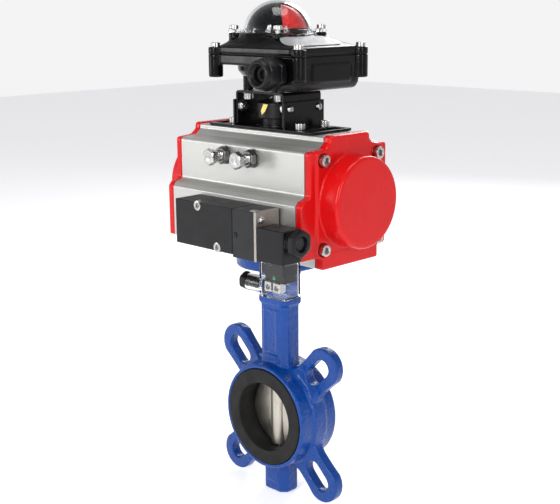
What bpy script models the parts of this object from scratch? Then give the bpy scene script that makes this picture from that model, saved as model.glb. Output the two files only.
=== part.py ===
"""Pneumatically actuated wafer butterfly valve.

A wafer butterfly valve with a rack-and-pinion air actuator bolted on its neck, a switch box on a
bracket over the actuator, and a solenoid air valve on the actuator's front face.
All sizes are in millimetres and are turned into metres when a mesh is made.
Origin: centre of the valve bore. X: along the actuator. Y: along the pipe, front is -Y. Z: up.
"""
import math

import bmesh
import bpy

MM = 0.001
GAP = 0.3                      # clearance between two pieces that touch

# valve
FACE = 22.5                    # half length of the iron body along the pipe
SEAT_FACE = 23.2               # half length over the rubber seat
SEAT_R, SEAT_MOUTH_R, SEAT_LIP_R = 32.7, 31.4, 44.6
BODY_R, BAND_R = 48.5, 50.5
LUG_REACH, LUG_R, LUG_Y, LUG_HALF = 76.5, 18.0, 0.7, 5.0
SLOT_IN, SLOT_OUT, SLOT_R = 62.0, 76.0, 8.0
NECK_X, NECK_Y, NECK_CUT = 17.0, 11.5, 5.0
FLANGE_R, FLANGE_LOW, FLANGE_TOP = 38.4, 139.5, 152.6
STEM_R, STEM_BORE_R, STEM_FIT_R = 6.3, 8.7, 6.6
BOSS_LOW = -76.0
DISC_R, HUB_R, HUB_HALF = 32.4, 8.7, 31.1

# actuator
ACT_Z = 206.25                 # height of the cylinder axis
ACT_HALF, CAP_FLANGE, CAP_PLATE, CAP_END = 74.7, 81.5, 83.2, 102.0
BORE_R, PISTON_R, CAP_CAVITY_R, BULGE_R = 41.5, 41.2, 34.0, 38.25
TOP_HALF, MID_HALF, FOOT_HALF, PAD_Y = 24.3, 46.9, 34.7, 57.6
FOOT_LOW, PAD_LOW, PAD_TOP, MID_TOP, BODY_TOP, CAP_TOP = 152.9, 163.4, 207.7, 250.2, 260.2, 261.5
CAP_BOLT_Y, CAP_BOLT_Z = 33.4, 36.4
STOP_X, STOP_Z = 16.3, 240.0
TEETH, MODULE = 12, 2.0
PITCH_R = TEETH * MODULE / 2   # 12 mm, so a quarter turn moves a piston 18.85 mm
TOOTH_HALF = 0.19 * math.pi * MODULE
HEAD_IN, HEAD_OUT = 30.0, 44.0

# bracket
PLATE_LOW, PLATE_TOP = 260.5, 262.5
WALL_X, WALL_TOP, SHELF_TOP = 29.0, 284.7, 292.5

# switch box
BOX_X, BOX_HX, BOX_HY = 11.5, 50.0, 39.5
LID_SX, LID_SY = 48.8, 37.6
BOX_TOP, GASKET_LOW, GASKET_TOP, LID_LOW = 323.2, 323.4, 324.2, 324.4
DOME_S, DOME_R, DOME_Z = 26.1, 28.3, 339.7
GLAND_X, GLAND_Z = 38.0, 310.0

# solenoid valve
SOL_FRONT, SOL_BACK = -86.0, -57.9
SOL_LEFT, SOL_SEAM, SOL_RIGHT = -38.5, 31.2, 56.1
SOL_LOW, SOL_TOP = 167.0, 205.0
SCREW_A, SCREW_B = (-11.0, 202.0), (12.5, 170.0)
TUBE_Y, TUBE_Z = -75.5, 184.0
COIL_X0, COIL_X1 = 59.5, 88.9
PLUG_Y, PLUG_Z = -75.0, 144.5


# ---------------------------------------------------------------- shapes

def skin(rings, closed=False):
    """Closed body through rings of equal length; a ring of one point is a tip."""
    verts, faces, at = [], [], []
    for ring in rings:
        at.append((len(verts), len(ring)))
        verts.extend(ring)
    pairs = list(zip(at, at[1:] + ([at[0]] if closed else [])))
    for (a, na), (b, nb) in pairs[:len(rings) if closed else len(rings) - 1]:
        n = max(na, nb)
        for k in range(n):
            j = (k + 1) % n
            if na == 1:
                faces.append((a, b + j, b + k))
            elif nb == 1:
                faces.append((a + k, a + j, b))
            else:
                faces.append((a + k, a + j, b + j, b + k))
    if not closed:
        for start, n in (at[0], at[-1]):
            if n > 1:
                faces.append(tuple(range(start, start + n)))
    return verts, faces


def place(u, v, h, axis, at=(0, 0, 0)):
    """Point with h along the axis and u, v across it."""
    p = {"X": (h, u, v), "Y": (u, h, v), "Z": (u, v, h)}[axis]
    return (p[0] + at[0], p[1] + at[1], p[2] + at[2])


def reach(kind, r, a):
    """Radius at angle a of a round, hexagonal or square section of half width r."""
    if kind == "hex":
        return r / math.cos((a + math.pi / 6) % (math.pi / 3) - math.pi / 6)
    if kind == "square":
        return r / max(abs(math.cos(a)), abs(math.sin(a)))
    return r


def turned(profile, axis="Z", at=(0, 0, 0), n=24):
    """Turned body from (radius, height, section) steps; open ends on the axis are tips."""
    rings = []
    for step in profile:
        r, h = step[0], step[1]
        kind = step[2] if len(step) > 2 else "round"
        if r == 0:
            rings.append([place(0, 0, h, axis, at)])
            continue
        ring = []
        for k in range(n):
            a = 2 * math.pi * k / n
            q = reach(kind, r, a)
            ring.append(place(q * math.cos(a), q * math.sin(a), h, axis, at))
        rings.append(ring)
    return skin(rings, closed=profile[0][0] > 0 and profile[-1][0] > 0)


def rod(r, lo, hi, axis="Z", at=(0, 0, 0), n=24, ease=0.0):
    """Round bar with optional small chamfers."""
    if ease:
        steps = [(0, lo), (r - ease, lo), (r, lo + ease), (r, hi - ease), (r - ease, hi), (0, hi)]
    else:
        steps = [(0, lo), (r, lo), (r, hi), (0, hi)]
    return turned(steps, axis, at, n)


def tube(r_in, r_out, lo, hi, axis="Z", at=(0, 0, 0), n=24):
    return turned([(r_in, lo), (r_out, lo), (r_out, hi), (r_in, hi)], axis, at, n)


def rounded(corners, k=4):
    """Outline from (x, y, radius) corners."""
    out = []
    count = len(corners)
    for i, (x, y, r) in enumerate(corners):
        if r <= 0:
            out.append((x, y))
            continue
        ax, ay = corners[i - 1][0] - x, corners[i - 1][1] - y
        bx, by = corners[(i + 1) % count][0] - x, corners[(i + 1) % count][1] - y
        la, lb = math.hypot(ax, ay), math.hypot(bx, by)
        ax, ay, bx, by = ax / la, ay / la, bx / lb, by / lb
        half = math.acos(max(-1, min(1, ax * bx + ay * by))) / 2
        t = r / math.tan(half)
        mx, my = ax + bx, ay + by
        lm = math.hypot(mx, my)
        cx, cy = x + mx / lm * r / math.sin(half), y + my / lm * r / math.sin(half)
        a0 = math.atan2(y + ay * t - cy, x + ax * t - cx)
        a1 = math.atan2(y + by * t - cy, x + bx * t - cx)
        turn = (a1 - a0 + math.pi) % (2 * math.pi) - math.pi
        for s in range(k + 1):
            a = a0 + turn * s / k
            out.append((cx + r * math.cos(a), cy + r * math.sin(a)))
    return out


def inset(outline, d):
    """Outline moved inwards by d (outline runs counter-clockwise)."""
    out = []
    n = len(outline)
    for i, (x, y) in enumerate(outline):
        x0, y0 = outline[i - 1]
        x1, y1 = outline[(i + 1) % n]
        e0 = (x - x0, y - y0)
        e1 = (x1 - x, y1 - y)
        l0, l1 = math.hypot(*e0) or 1, math.hypot(*e1) or 1
        n0 = (-e0[1] / l0, e0[0] / l0)
        n1 = (-e1[1] / l1, e1[0] / l1)
        mx, my = n0[0] + n1[0], n0[1] + n1[1]
        f = 2 * d / max(mx * mx + my * my, 0.5)
        out.append((x + mx * f, y + my * f))
    return out


def loft(sections, axis="Z", at=(0, 0, 0), closed=False):
    """Body through (height, outline) sections with equal numbers of points."""
    return skin([[place(u, v, h, axis, at) for u, v in line] for h, line in sections], closed)


def prism(outline, lo, hi, axis="Z", at=(0, 0, 0), ease=0.0):
    if not ease:
        return loft([(lo, outline), (hi, outline)], axis, at)
    small = inset(outline, ease)
    return loft([(lo, small), (lo + ease, outline), (hi - ease, outline), (hi, small)], axis, at)


def rect(x0, x1, y0, y1, r=0.0, k=3):
    return rounded([(x0, y0, r), (x1, y0, r), (x1, y1, r), (x0, y1, r)], k)


def block(x0, x1, y0, y1, z0, z1, ease=0.0):
    return prism(rect(x0, x1, y0, y1), z0, z1, "Z", ease=ease)


def spun(points, a):
    """Outline turned by angle a about the origin."""
    c, s = math.cos(a), math.sin(a)
    return [(x * c - y * s, x * s + y * c) for x, y in points]


def turned_about_z(solid):
    """The same body turned half a turn about Z."""
    return [(-x, -y, z) for x, y, z in solid[0]], solid[1]


def arc(r, z, a0, a1, k):
    """Turned profile steps along a circle centred on the axis, angles from the horizontal."""
    out = []
    for i in range(k + 1):
        a = math.radians(a0 + (a1 - a0) * i / k)
        q = r * math.cos(a)
        out.append((0 if q < 1e-6 else q, z + r * math.sin(a)))
    return out


# ---------------------------------------------------------------- objects

def material(name, colour, metallic=0.0, roughness=0.5, alpha=1.0):
    m = bpy.data.materials.new(name)
    m.use_nodes = True
    b = m.node_tree.nodes["Principled BSDF"]
    b.inputs["Base Color"].default_value = (*colour, 1.0)
    b.inputs["Metallic"].default_value = metallic
    b.inputs["Roughness"].default_value = roughness
    b.inputs["Alpha"].default_value = alpha
    return m


def mesh_object(name, solids, origin=(0, 0, 0)):
    bm = bmesh.new()
    for verts, faces in solids:
        made = [bm.verts.new([(p - o) * MM for p, o in zip(v, origin)]) for v in verts]
        for f in faces:
            bm.faces.new([made[i] for i in f])
    bmesh.ops.recalc_face_normals(bm, faces=bm.faces[:])
    mesh = bpy.data.meshes.new(name)
    bm.to_mesh(mesh)
    bm.free()
    mesh.shade_smooth()
    mesh.set_sharp_from_angle(angle=math.radians(32))
    obj = bpy.data.objects.new(name, mesh)
    obj.location = [o * MM for o in origin]
    bpy.context.scene.collection.objects.link(obj)
    return obj


def node(name, solid, mat, joins=(), cuts=(), origin=(0, 0, 0)):
    """One sub-part: a base body, bodies joined to it, then bodies cut from it."""
    obj = mesh_object(name, [solid], origin)
    obj.data.materials.append(mat)
    for word, operation, bodies in (("join", "UNION", joins), ("cut", "DIFFERENCE", cuts)):
        for i, body in enumerate(bodies):
            body = body if isinstance(body, list) else [body]
            tool = mesh_object(f"{name}_{word}_{i}", body)
            tool.hide_render = True
            tool.display_type = "WIRE"
            mod = obj.modifiers.new(f"{word}_{i}", "BOOLEAN")
            mod.operation = operation
            mod.solver = "EXACT"
            mod.object = tool
    return obj


def wide(profile, k):
    """Turned profile with every radius made k times as large."""
    return [(r * k, h) for r, h in profile]


def corners4(x, y):
    return [(-x, -y), (x, -y), (x, y), (-x, y)]


# ---------------------------------------------------------------- valve

def chamfered(hx, hy, c):
    return [(-hx + c, -hy), (hx - c, -hy), (hx, -hy + c), (hx, hy - c),
            (hx - c, hy), (-hx + c, hy), (-hx, hy - c), (-hx, -hy + c)]


def lug(a):
    end = [(LUG_REACH + LUG_R * math.cos(math.radians(t)), LUG_R * math.sin(math.radians(t)))
           for t in range(-80, 81, 20)]
    root = [(30.0, 30.0), (43.0, 21.5), (50.0, 17.6), (60.0, 16.6), (70.0, 17.0)]
    line = spun([(x, -y) for x, y in root] + end + root[::-1], a)
    return prism(line, LUG_Y - LUG_HALF, LUG_Y + LUG_HALF, "Y")


def lug_slot(a):
    out = [(SLOT_OUT + SLOT_R * math.cos(math.radians(t)), SLOT_R * math.sin(math.radians(t)))
           for t in range(-90, 91, 30)]
    back = [(SLOT_IN + SLOT_R * math.cos(math.radians(t)), SLOT_R * math.sin(math.radians(t)))
            for t in range(90, 271, 30)]
    return prism(spun(out + back, a), -20, 20, "Y")


def valve_body(mat):
    ring = turned([(0, -FACE), (BODY_R, -FACE), (BODY_R, -8.0), (BAND_R, -6.0), (BAND_R, 7.4),
                   (BODY_R, 9.4), (BODY_R, FACE), (0, FACE)], "Y", n=48)
    slim = chamfered(NECK_X, NECK_Y, NECK_CUT)
    wide = chamfered(NECK_X + 1.5, NECK_Y + 1.5, NECK_CUT)
    flare = chamfered(NECK_X + 6, NECK_Y + 8, NECK_CUT + 3)
    neck = loft([(40, slim), (103.5, slim), (104.6, wide), (109.5, wide), (110.6, slim),
                 (127, slim), (141, flare)])
    boss = loft([(BOSS_LOW, chamfered(13.2, 9.7, 5.0)), (BOSS_LOW + 1.8, chamfered(15.0, 11.5, 5.6)),
                 (-40, chamfered(15.0, 11.5, 5.6))])
    flange = rod(FLANGE_R, FLANGE_LOW, FLANGE_TOP, n=36)
    diagonals = [math.radians(a) for a in (45, 135, 225, 315)]
    bore = turned([(0, -40), (44.9, -40), (44.9, -18.7), (38.3, -18.7), (38.3, 18.7), (44.9, 18.7),
                   (44.9, 40), (0, 40)], "Y", n=40)
    slots = [lug_slot(a) for a in diagonals]
    holes = [rod(3.5, 135, 160, at=(x, y, 0), n=10) for x, y in corners4(17.7, 17.7)]
    node("valve_body", ring, mat, joins=[lug(a) for a in diagonals] + [neck, boss, flange],
         cuts=[bore, rod(STEM_BORE_R, -70, 160, n=20), slots, holes])


def valve_inside(rubber, steel, bronze, bright):
    seat = turned([(SEAT_R, -7.0), (SEAT_MOUTH_R, -10.0), (SEAT_MOUTH_R, -22.4), (32.2, -SEAT_FACE),
                   (SEAT_LIP_R, -SEAT_FACE), (SEAT_LIP_R, -19), (38, -19), (38, 19), (SEAT_LIP_R, 19),
                   (SEAT_LIP_R, SEAT_FACE), (32.2, SEAT_FACE), (SEAT_MOUTH_R, 22.4),
                   (SEAT_MOUTH_R, 10.0), (SEAT_R, 7.0)], "Y", n=40)
    node("seat_liner", seat, rubber, cuts=[rod(STEM_FIT_R, -60, 60, n=16)])
    disc = turned([(0, -4.8), (30.6, -3.2), (DISC_R, -1.6), (DISC_R, 1.6), (30.6, 3.2), (0, 4.8)],
                  "Y", n=40)
    node("disc", disc, steel, joins=[rod(HUB_R, -HUB_HALF, HUB_HALF, n=20)],
         cuts=[rod(STEM_FIT_R, -40, 40, n=16)])
    node("valve_stem", turned([(0, -69.4), (5.3, -69.4), (STEM_R, -68.4), (STEM_R, 152.7),
                               (4.45, 153.0, "square"), (4.45, 167.4, "square"),
                               (3.8, 168.2, "square"), (0, 168.2)], n=16), bright)
    node("upper_stem_bushing", tube(STEM_FIT_R, 8.4, 98, 134, n=16), bronze)
    node("lower_stem_bushing", tube(STEM_FIT_R, 8.4, -69.5, -52, n=16), bronze)
    ring = [(7.5 + 0.85 * math.cos(math.radians(t)), 138 + 0.85 * math.sin(math.radians(t)))
            for t in range(0, 360, 60)]
    node("stem_seal", turned(ring, n=16), rubber)


# ---------------------------------------------------------------- actuator

def actuator_section():
    """Outline of the aluminium body across the cylinder, as (Y, Z)."""
    return rounded([
        (-FOOT_HALF, FOOT_LOW, 1.5), (FOOT_HALF, FOOT_LOW, 1.5), (FOOT_HALF, PAD_LOW, 2),
        (MID_HALF, PAD_LOW + 2, 3), (MID_HALF, MID_TOP, 3), (30, MID_TOP + 1.2, 3),
        (TOP_HALF, 256, 2), (TOP_HALF, BODY_TOP, 1.5), (-TOP_HALF, BODY_TOP, 1.5),
        (-TOP_HALF, 256, 2), (-30, MID_TOP + 1.2, 3), (-MID_HALF, MID_TOP, 3),
        (-MID_HALF, 213.5, 3.5), (-PAD_Y + 3, 211.5, 2.5), (-PAD_Y, PAD_TOP, 2),
        (-PAD_Y, PAD_LOW, 1.2), (-FOOT_HALF, PAD_LOW, 1.5)], k=2)


def actuator_body(mat):
    body = prism(actuator_section(), -ACT_HALF, ACT_HALF, "X")
    column = turned([(0, 145), (16.3, 145), (16.3, 182), (24, 196), (24, 246), (14.5, 246),
                     (14.5, 270), (0, 270)], n=28)
    small = []
    for y, z in corners4(CAP_BOLT_Y, CAP_BOLT_Z):
        small.append(rod(3.3, 56, 90, "X", (0, y, ACT_Z + z), 10))
        small.append(rod(3.3, -90, -56, "X", (0, y, ACT_Z + z), 10))
    small += [rod(4.3, -60, -8, "Y", (x, 0, STOP_Z), 12) for x in (-STOP_X, STOP_X)]
    small += [rod(2.9, 148, 161, "Z", (x, y, 0), 8) for x, y in corners4(17.7, 17.7)]
    small += [rod(2.8, 250.5, 270, "Z", (x, y, 0), 10) for x, y in corners4(40, 15)]
    small += [rod(2.9, -65, -47, "Y", (x, 0, z), 10) for x, z in (SCREW_A, SCREW_B)]
    small += [rod(4.5, -65, -30, "Y", (x, 0, 186.2), 12) for x in (-12, 12)]
    node("actuator_body", body, mat, cuts=[rod(BORE_R, -90, 90, "X", (0, 0, ACT_Z), 40), column, small])


def end_cap(name, side, mat):
    """End cap on the +X side; the other side is the same casting mirrored."""
    def there(solid):
        return [(side * x, y, z) for x, y, z in solid[0]], solid[1]
    bulge = turned([(0, 75), (BULGE_R, 75), (BULGE_R, CAP_END - 3), (BULGE_R - 0.9, CAP_END - 0.9),
                    (BULGE_R - 3, CAP_END), (0, CAP_END)], "X", (0, 0, ACT_Z), 40)
    flange = rounded([
        (-PAD_Y, PAD_LOW, 1.5), (MID_HALF, PAD_LOW, 3), (MID_HALF, MID_TOP, 3), (30, MID_TOP + 1.2, 3),
        (TOP_HALF, 256, 2), (TOP_HALF, CAP_TOP, 3), (-TOP_HALF, CAP_TOP, 3), (-TOP_HALF, 256, 2),
        (-30, MID_TOP + 1.2, 3), (-MID_HALF, MID_TOP, 3), (-MID_HALF, 213.5, 3.5),
        (-PAD_Y + 3, 211.5, 2.5), (-PAD_Y, PAD_TOP, 2)], k=2)
    plate = rounded([
        (-40.1, PAD_LOW, 2), (40.1, PAD_LOW, 2), (40.1, MID_TOP - 1, 3), (26, MID_TOP + 2, 3),
        (TOP_HALF - 1, 256, 1), (TOP_HALF - 1, CAP_TOP - 0.6, 3), (1 - TOP_HALF, CAP_TOP - 0.6, 3),
        (1 - TOP_HALF, 256, 1), (-26, MID_TOP + 2, 3), (-40.1, MID_TOP - 1, 3)], k=2)
    foot = rect(-FOOT_HALF, FOOT_HALF, FOOT_LOW, PAD_LOW + 3, 1.5, 2)
    spots = [(y, ACT_Z + z) for y, z in corners4(CAP_BOLT_Y, CAP_BOLT_Z)]
    holes = [turned([(0, 70), (3.3, 70), (3.3, 80.7), (5.7, 80.7), (5.7, 112), (0, 112)], "X",
                    (0, y, z), 10) for y, z in spots]
    node(name, there(bulge), mat,
         joins=[there(prism(flange, 75.0, CAP_FLANGE, "X")),
                there(prism(plate, 80.0, CAP_PLATE, "X")),
                there(prism(foot, 75.2, CAP_PLATE + 0.2, "X"))],
         cuts=[there(turned([(0, 60), (CAP_CAVITY_R, 60), (CAP_CAVITY_R, 96), (32, 98), (0, 98)], "X",
                            (0, 0, ACT_Z), 24)), [there(h) for h in holes]])


def socket_screw(name, axis, at, seat, out, head_r, head_h, shank_r, tip, mat, key=2.5, n=12):
    """Socket-head screw. seat: height of the head's underside; out: +1 or -1, the head's way."""
    top = seat + out * head_h
    node(name, turned([(0, tip), (shank_r, tip), (shank_r, seat), (head_r, seat), (head_r, top),
                       (key, top, "hex"), (key, top - out * head_h * 0.55, "hex"),
                       (0, top - out * head_h * 0.6)], axis, at, n), mat)


def cap_bolts(mat):
    for side, word in ((-1, "left"), (1, "right")):
        for i, (y, z) in enumerate(corners4(CAP_BOLT_Y, CAP_BOLT_Z)):
            socket_screw(f"{word}_cap_bolt_{i + 1}", "X", (0, y, ACT_Z + z), side * 81.0, side,
                         5.0, 6.0, 3.0, side * 60.0, mat)


def rack_outline():
    """Rack bar that meshes with the pinion on its -Y side, in (x, y)."""
    pitch = math.pi * MODULE
    tan = math.tan(math.radians(20))
    tip, root = -(PITCH_R - 0.8 * MODULE), -(PITCH_R + 1.1 * MODULE)
    h_tip, h_root = TOOTH_HALF - 0.8 * MODULE * tan, TOOTH_HALF + 1.1 * MODULE * tan
    line = [(-27.0, root)]
    for k in range(-4, 2):
        x = (k + 0.5) * pitch
        if x - h_root < -26.9:
            continue
        line += [(x - h_root, root), (x - h_tip, tip), (x + h_tip, tip), (x + h_root, root)]
    line += [(32.0, root), (32.0, -25.0), (-27.0, -25.0)]
    return line[::-1]


def pistons(mat):
    rack = prism(rack_outline(), ACT_Z - 11, ACT_Z + 11)
    z = (0, 0, ACT_Z)
    head = turned([(0, HEAD_IN), (PISTON_R - 1, HEAD_IN), (PISTON_R, HEAD_IN + 1), (PISTON_R, 35),
                   (PISTON_R - 1.5, 35), (PISTON_R - 1.5, 38), (PISTON_R, 38), (PISTON_R, HEAD_OUT - 1),
                   (PISTON_R - 1, HEAD_OUT), (30, HEAD_OUT), (28, 39), (0, 39)], "X", z, 28)
    node("right_piston", head, mat, joins=[rack], origin=z)
    node("left_piston", turned_about_z(head), mat, joins=[turned_about_z(rack)], origin=z)


def gear_outline():
    tan = math.tan(math.radians(20))
    tip, root = PITCH_R + 0.8 * MODULE, PITCH_R - 1.1 * MODULE
    line = []
    for k in range(TEETH):
        a = 2 * math.pi * k / TEETH
        for r, w in ((root, -1.55), (tip, -(TOOTH_HALF - 0.8 * MODULE * tan)),
                     (tip, TOOTH_HALF - 0.8 * MODULE * tan), (root, 1.55)):
            b = a + w / r
            line.append((r * math.cos(b), r * math.sin(b)))
    return line


def pinion(mat):
    shaft = turned([(0, 171.8), (4.8, 171.8, "square"), (4.8, 153.4, "square"), (13, 153.4),
                    (13, 192), (9.4, 195), (9.4, 217.5), (11, 220), (11, 259.9), (8, 260.1),
                    (8, 280.6), (7.4, 281.2), (0, 281.2)], n=24)
    cam = [(-11.0, -11.0), (20.0, -11.0), (20.0, 0.0), (17.5, 9.7), (9.7, 17.5), (0.0, 20.0),
           (-11.0, 20.0)]
    node("pinion", shaft, mat, joins=[prism(gear_outline(), ACT_Z - 12, ACT_Z + 12),
                                      prism(cam, 234, 245)],
         cuts=[block(-20, 20, -2, 2, 277.1, 290)])


def stops(steel):
    for x, word in ((-STOP_X, "left"), (STOP_X, "right")):
        at = (x, 0, STOP_Z)
        node(f"{word}_stop_bolt", turned([(0, -11.3), (3.3, -11.3), (4.0, -12), (4.0, -62.6),
                                          (6.5, -62.7, "hex"), (6.5, -67.4, "hex"), (5.8, -68.0),
                                          (0, -68.0)], "Y", at, 12), steel)
        node(f"{word}_stop_nut", turned([(4.3, -47.2), (8.0, -47.2), (8.0, -48.7), (6.5, -48.8, "hex"),
                                         (6.5, -54.4, "hex"), (5.9, -55), (4.3, -55)], "Y", at, 12), steel)


# ---------------------------------------------------------------- bracket

def bracket(black, steel, dark):
    base = prism(rect(-63, 63, -25, 25, 2.5), PLATE_LOW, PLATE_TOP)
    walls = [block(s * 31, s * WALL_X, -24.4, 24.4, 261.5, WALL_TOP) if s > 0 else
             block(-31, -WALL_X, -24.4, 24.4, 261.5, WALL_TOP) for s in (-1, 1)]
    side = [rod(2.8, -40, 40, "X", (0, y, 279), 8) for y in (-17.5, 17.5)]
    holes = [rod(2.8, 255, 268, "Z", (x, y, 0), 8) for x, y in corners4(40, 15)]
    windows = [prism(rect(s * 53 - 7, s * 53 + 7, -20, 20), 255, 268) for s in (-1, 1)]
    node("bracket_base", base, black, joins=[walls],
         cuts=[side, holes + windows + [rod(19.5, 255, 268, n=20)]])
    shape = rounded([(-28.7, 264, 0), (-26.7, 264, 0), (-26.7, 290.5, 1), (26.7, 290.5, 1),
                     (26.7, 264, 0), (28.7, 264, 0), (28.7, SHELF_TOP, 3), (-28.7, SHELF_TOP, 3)], 3)
    node("bracket_top", prism(shape, -23, 23, "Y"), black,
         cuts=[side, [rod(9, 285, 300, n=16)] +
               [rod(3.2, 285, 300, at=(x, y, 0), n=8) for x, y in corners4(19, 17)]])
    for i, (x, y) in enumerate(corners4(40, 15)):
        socket_screw(f"bracket_screw_{i + 1}", "Z", (x, y, 0), 262.8, 1, 4.3, 5.0, 2.5, 251.0, steel, 2.0, 12)
    puck = turned([(8.3, 262.9), (15, 262.9), (15, 269), (18.4, 269.2), (19, 270), (19, 282.2),
                   (18.2, 283), (8.3, 283)], n=24)
    node("position_indicator", puck, dark)


# ---------------------------------------------------------------- switch box

def box_outline(d=0.0):
    return rect(BOX_X - BOX_HX + d, BOX_X + BOX_HX - d, -BOX_HY + d, BOX_HY - d, max(10 - d, 3), 3)


def towards(outline, r, t):
    """Outline blended by t towards a circle of radius r about the origin."""
    out = []
    for x, y in outline:
        a = math.atan2(y / BOX_HY, (x - BOX_X) / BOX_HX)
        out.append((x + (r * math.cos(a) - x) * t, y + (r * math.sin(a) - y) * t))
    return out


def lid_corners():
    return [(BOX_X + x, y) for x, y in corners4(LID_SX, LID_SY)]


def switch_housing(mat):
    rim = loft([(314.7, box_outline(0.8)), (315.5, box_outline()), (BOX_TOP, box_outline())])
    deep = rect(24, 61.2, -38.8, 38.8, 7, 3)
    right = loft([(295, inset(deep, 6)), (297, inset(deep, 2.2)), (300.5, inset(deep, 0.4)),
                  (304, deep), (317, deep)])
    bowl = turned([(0, 304.5), (27, 304.5), (31, 306), (34, 309.5), (35, 317), (0, 317)], n=24)
    posts = [rod(6.2, 304, BOX_TOP, at=(x, y, 0), n=14) for x, y in lid_corners()]
    feet = [rod(4.5, 292.8, 307, at=(x, y, 0), n=12) for x, y in corners4(19, 17)]
    hub = rod(9, 298, 307, n=16)
    hollow = prism(box_outline(4.5), 318, 330)
    deep_in = prism(rect(28, 57, -34.5, 34.5), 299, 320)
    bowl_in = rod(29.5, 309, 320, n=24)
    gland = rod(8.3, -50, -30, "Y", (GLAND_X, 0, GLAND_Z), 16)
    shaft = rod(5.3, 285, 312, n=16)
    taps = [rod(2.2, 309, 330, at=(x, y, 0), n=8) for x, y in lid_corners()]
    node("switch_housing", rim, mat, joins=[right, bowl, posts, feet, hub],
         cuts=[hollow, deep_in, bowl_in, [gland, shaft] + taps])


def switch_lid(mat):
    full = box_outline()
    ring = 32.5
    shell = loft([(LID_LOW, full), (329.2, full), (330.2, box_outline(1.2)),
                  (333.0, towards(box_outline(2), ring, 0.32)), (337.5, towards(box_outline(2), ring, 0.72)),
                  (340.3, towards(box_outline(2), ring, 1.0)), (341.0, towards(box_outline(2), ring - 0.7, 1.0))])
    inner = loft([(320, box_outline(5)), (327.5, box_outline(5)),
                  (332.5, towards(box_outline(5), 28, 0.6)), (336.5, towards(box_outline(5), 27, 1.0))])
    posts = [rod(6.2, LID_LOW, 329.2, at=(x, y, 0), n=14) for x, y in lid_corners()]
    ears = [rod(4.6, 331.2, 341.0, at=(x, y, 0), n=12) for x, y in corners4(DOME_S, DOME_S)]
    holes = [rod(2.4, 320, 335, at=(x, y, 0), n=8) for x, y in lid_corners()]
    taps = [rod(1.6, 335, 345, at=(x, y, 0), n=8) for x, y in corners4(DOME_S, DOME_S)]
    node("switch_lid", shell, mat, joins=[posts, ears],
         cuts=[inner, holes + taps + [rod(5.4, 330, 345, n=16)]])


def dome_parts(clear, black, red):
    inner, outer = wide(arc(26.6, DOME_Z, 90, 9, 5), 1.047), wide(arc(DOME_R, DOME_Z, 8.5, 90, 6), 1.047)
    foot = [(27.5, 341.3), (33, 341.3), (33, 343.3), (32.5, 343.8)]
    ears = [rod(5.0, 341.3, 343.8, at=(x, y, 0), n=12) for x, y in corners4(DOME_S, DOME_S)]
    taps = [rod(1.8, 335, 350, at=(x, y, 0), n=8) for x, y in corners4(DOME_S, DOME_S)]
    node("indicator_dome", turned(inner + foot + outer, n=28), clear, joins=[ears], cuts=[taps])
    wedge = [(2.5, 0), (40, -32), (40, 32)]
    shell = wide(arc(25.2, DOME_Z, 90, 4, 5) + arc(26.1, DOME_Z, 4, 90, 5), 1.035)
    node("indicator_shade", turned(shell, n=32), black,
         cuts=[[prism(wedge, 344.5, 380), prism(spun(wedge, math.pi), 344.5, 380)]])
    hub = [(0, 357), (3.3, 357), (3.3, 347), (6, 347), (6, 359)]
    bowl = wide(arc(23.3, DOME_Z, 70, 9, 3) + arc(24.7, DOME_Z, 9, 90, 5), 1.03)
    node("indicator_rotor", turned(hub + bowl, n=28), red)


def cam_ring(lobe, lo, hi):
    line, hole = [], []
    for k in range(20):
        a = 2 * math.pi * k / 20
        near = abs((a - lobe + math.pi) % (2 * math.pi) - math.pi)
        r = 12.0 if near < 0.65 else (9.5 if near > 0.95 else 11.0)
        line.append((r * math.cos(a), r * math.sin(a)))
        hole.append((5.3 * math.cos(a), 5.3 * math.sin(a)))
    return loft([(lo, hole), (lo, line), (hi, line), (hi, hole)], closed=True)


def switch_inside(steel, rubber, yellow, red, grey, green):
    line = box_outline(0.8)
    hole = box_outline(4.2)
    node("lid_gasket", loft([(GASKET_LOW, hole), (GASKET_LOW, line), (GASKET_TOP, line),
                             (GASKET_TOP, hole)], closed=True), rubber,
         cuts=[[rod(2.6, 320, 330, at=(x, y, 0), n=8) for x, y in lid_corners()]])
    node("switch_shaft", turned([(0, 281.5), (5, 281.5), (5, 344), (3.0, 344.3), (3.0, 356.4), (0, 356.4)],
                                n=16), steel, joins=[block(-6.5, 6.5, -1.7, 1.7, 277.4, 283)])
    node("lower_cam", cam_ring(math.radians(0), 311.5, 316), yellow)
    node("upper_cam", cam_ring(math.radians(180), 318.2, 322.7), red)
    for word, z in (("closed", 309.4), ("open", 316.4)):
        node(f"{word}_microswitch", block(-12, 12, 14.6, 26, z, z + 6.6, 0.4), grey,
             joins=[rod(1.6, 12.6, 16, "Y", (0, 0, z + 3.3), 12)])
    bars = [block(36.5, 49.5, y - 0.8, y + 0.8, 306, 312.5) for y in (-21, -14, -7, 0, 7, 14, 21)]
    node("terminal_strip", block(37, 49, -24, 24, 299.4, 309, 0.4), green, joins=[bars])


def cable_gland(black):
    at = (GLAND_X, 0, GLAND_Z)
    node("cable_gland", turned([(6.4, -31), (8.0, -31), (8.0, -39.8), (12.0, -39.85, "hex"),
                                (12.0, -46.4, "hex"), (8.4, -46.5), (8.4, -56), (6.4, -56)],
                               "Y", at, 12), black)
    node("gland_nut", turned([(8.7, -46.9), (12.0, -46.95, "hex"), (12.0, -55.5, "hex"), (12.6, -56.5),
                              (12.3, -59.5), (11.4, -62), (10.6, -62.6), (7.2, -62.6), (6.5, -61.9),
                              (6.5, -57), (8.7, -56.8)], "Y", at, 24), black)


# ---------------------------------------------------------------- solenoid valve

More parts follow.
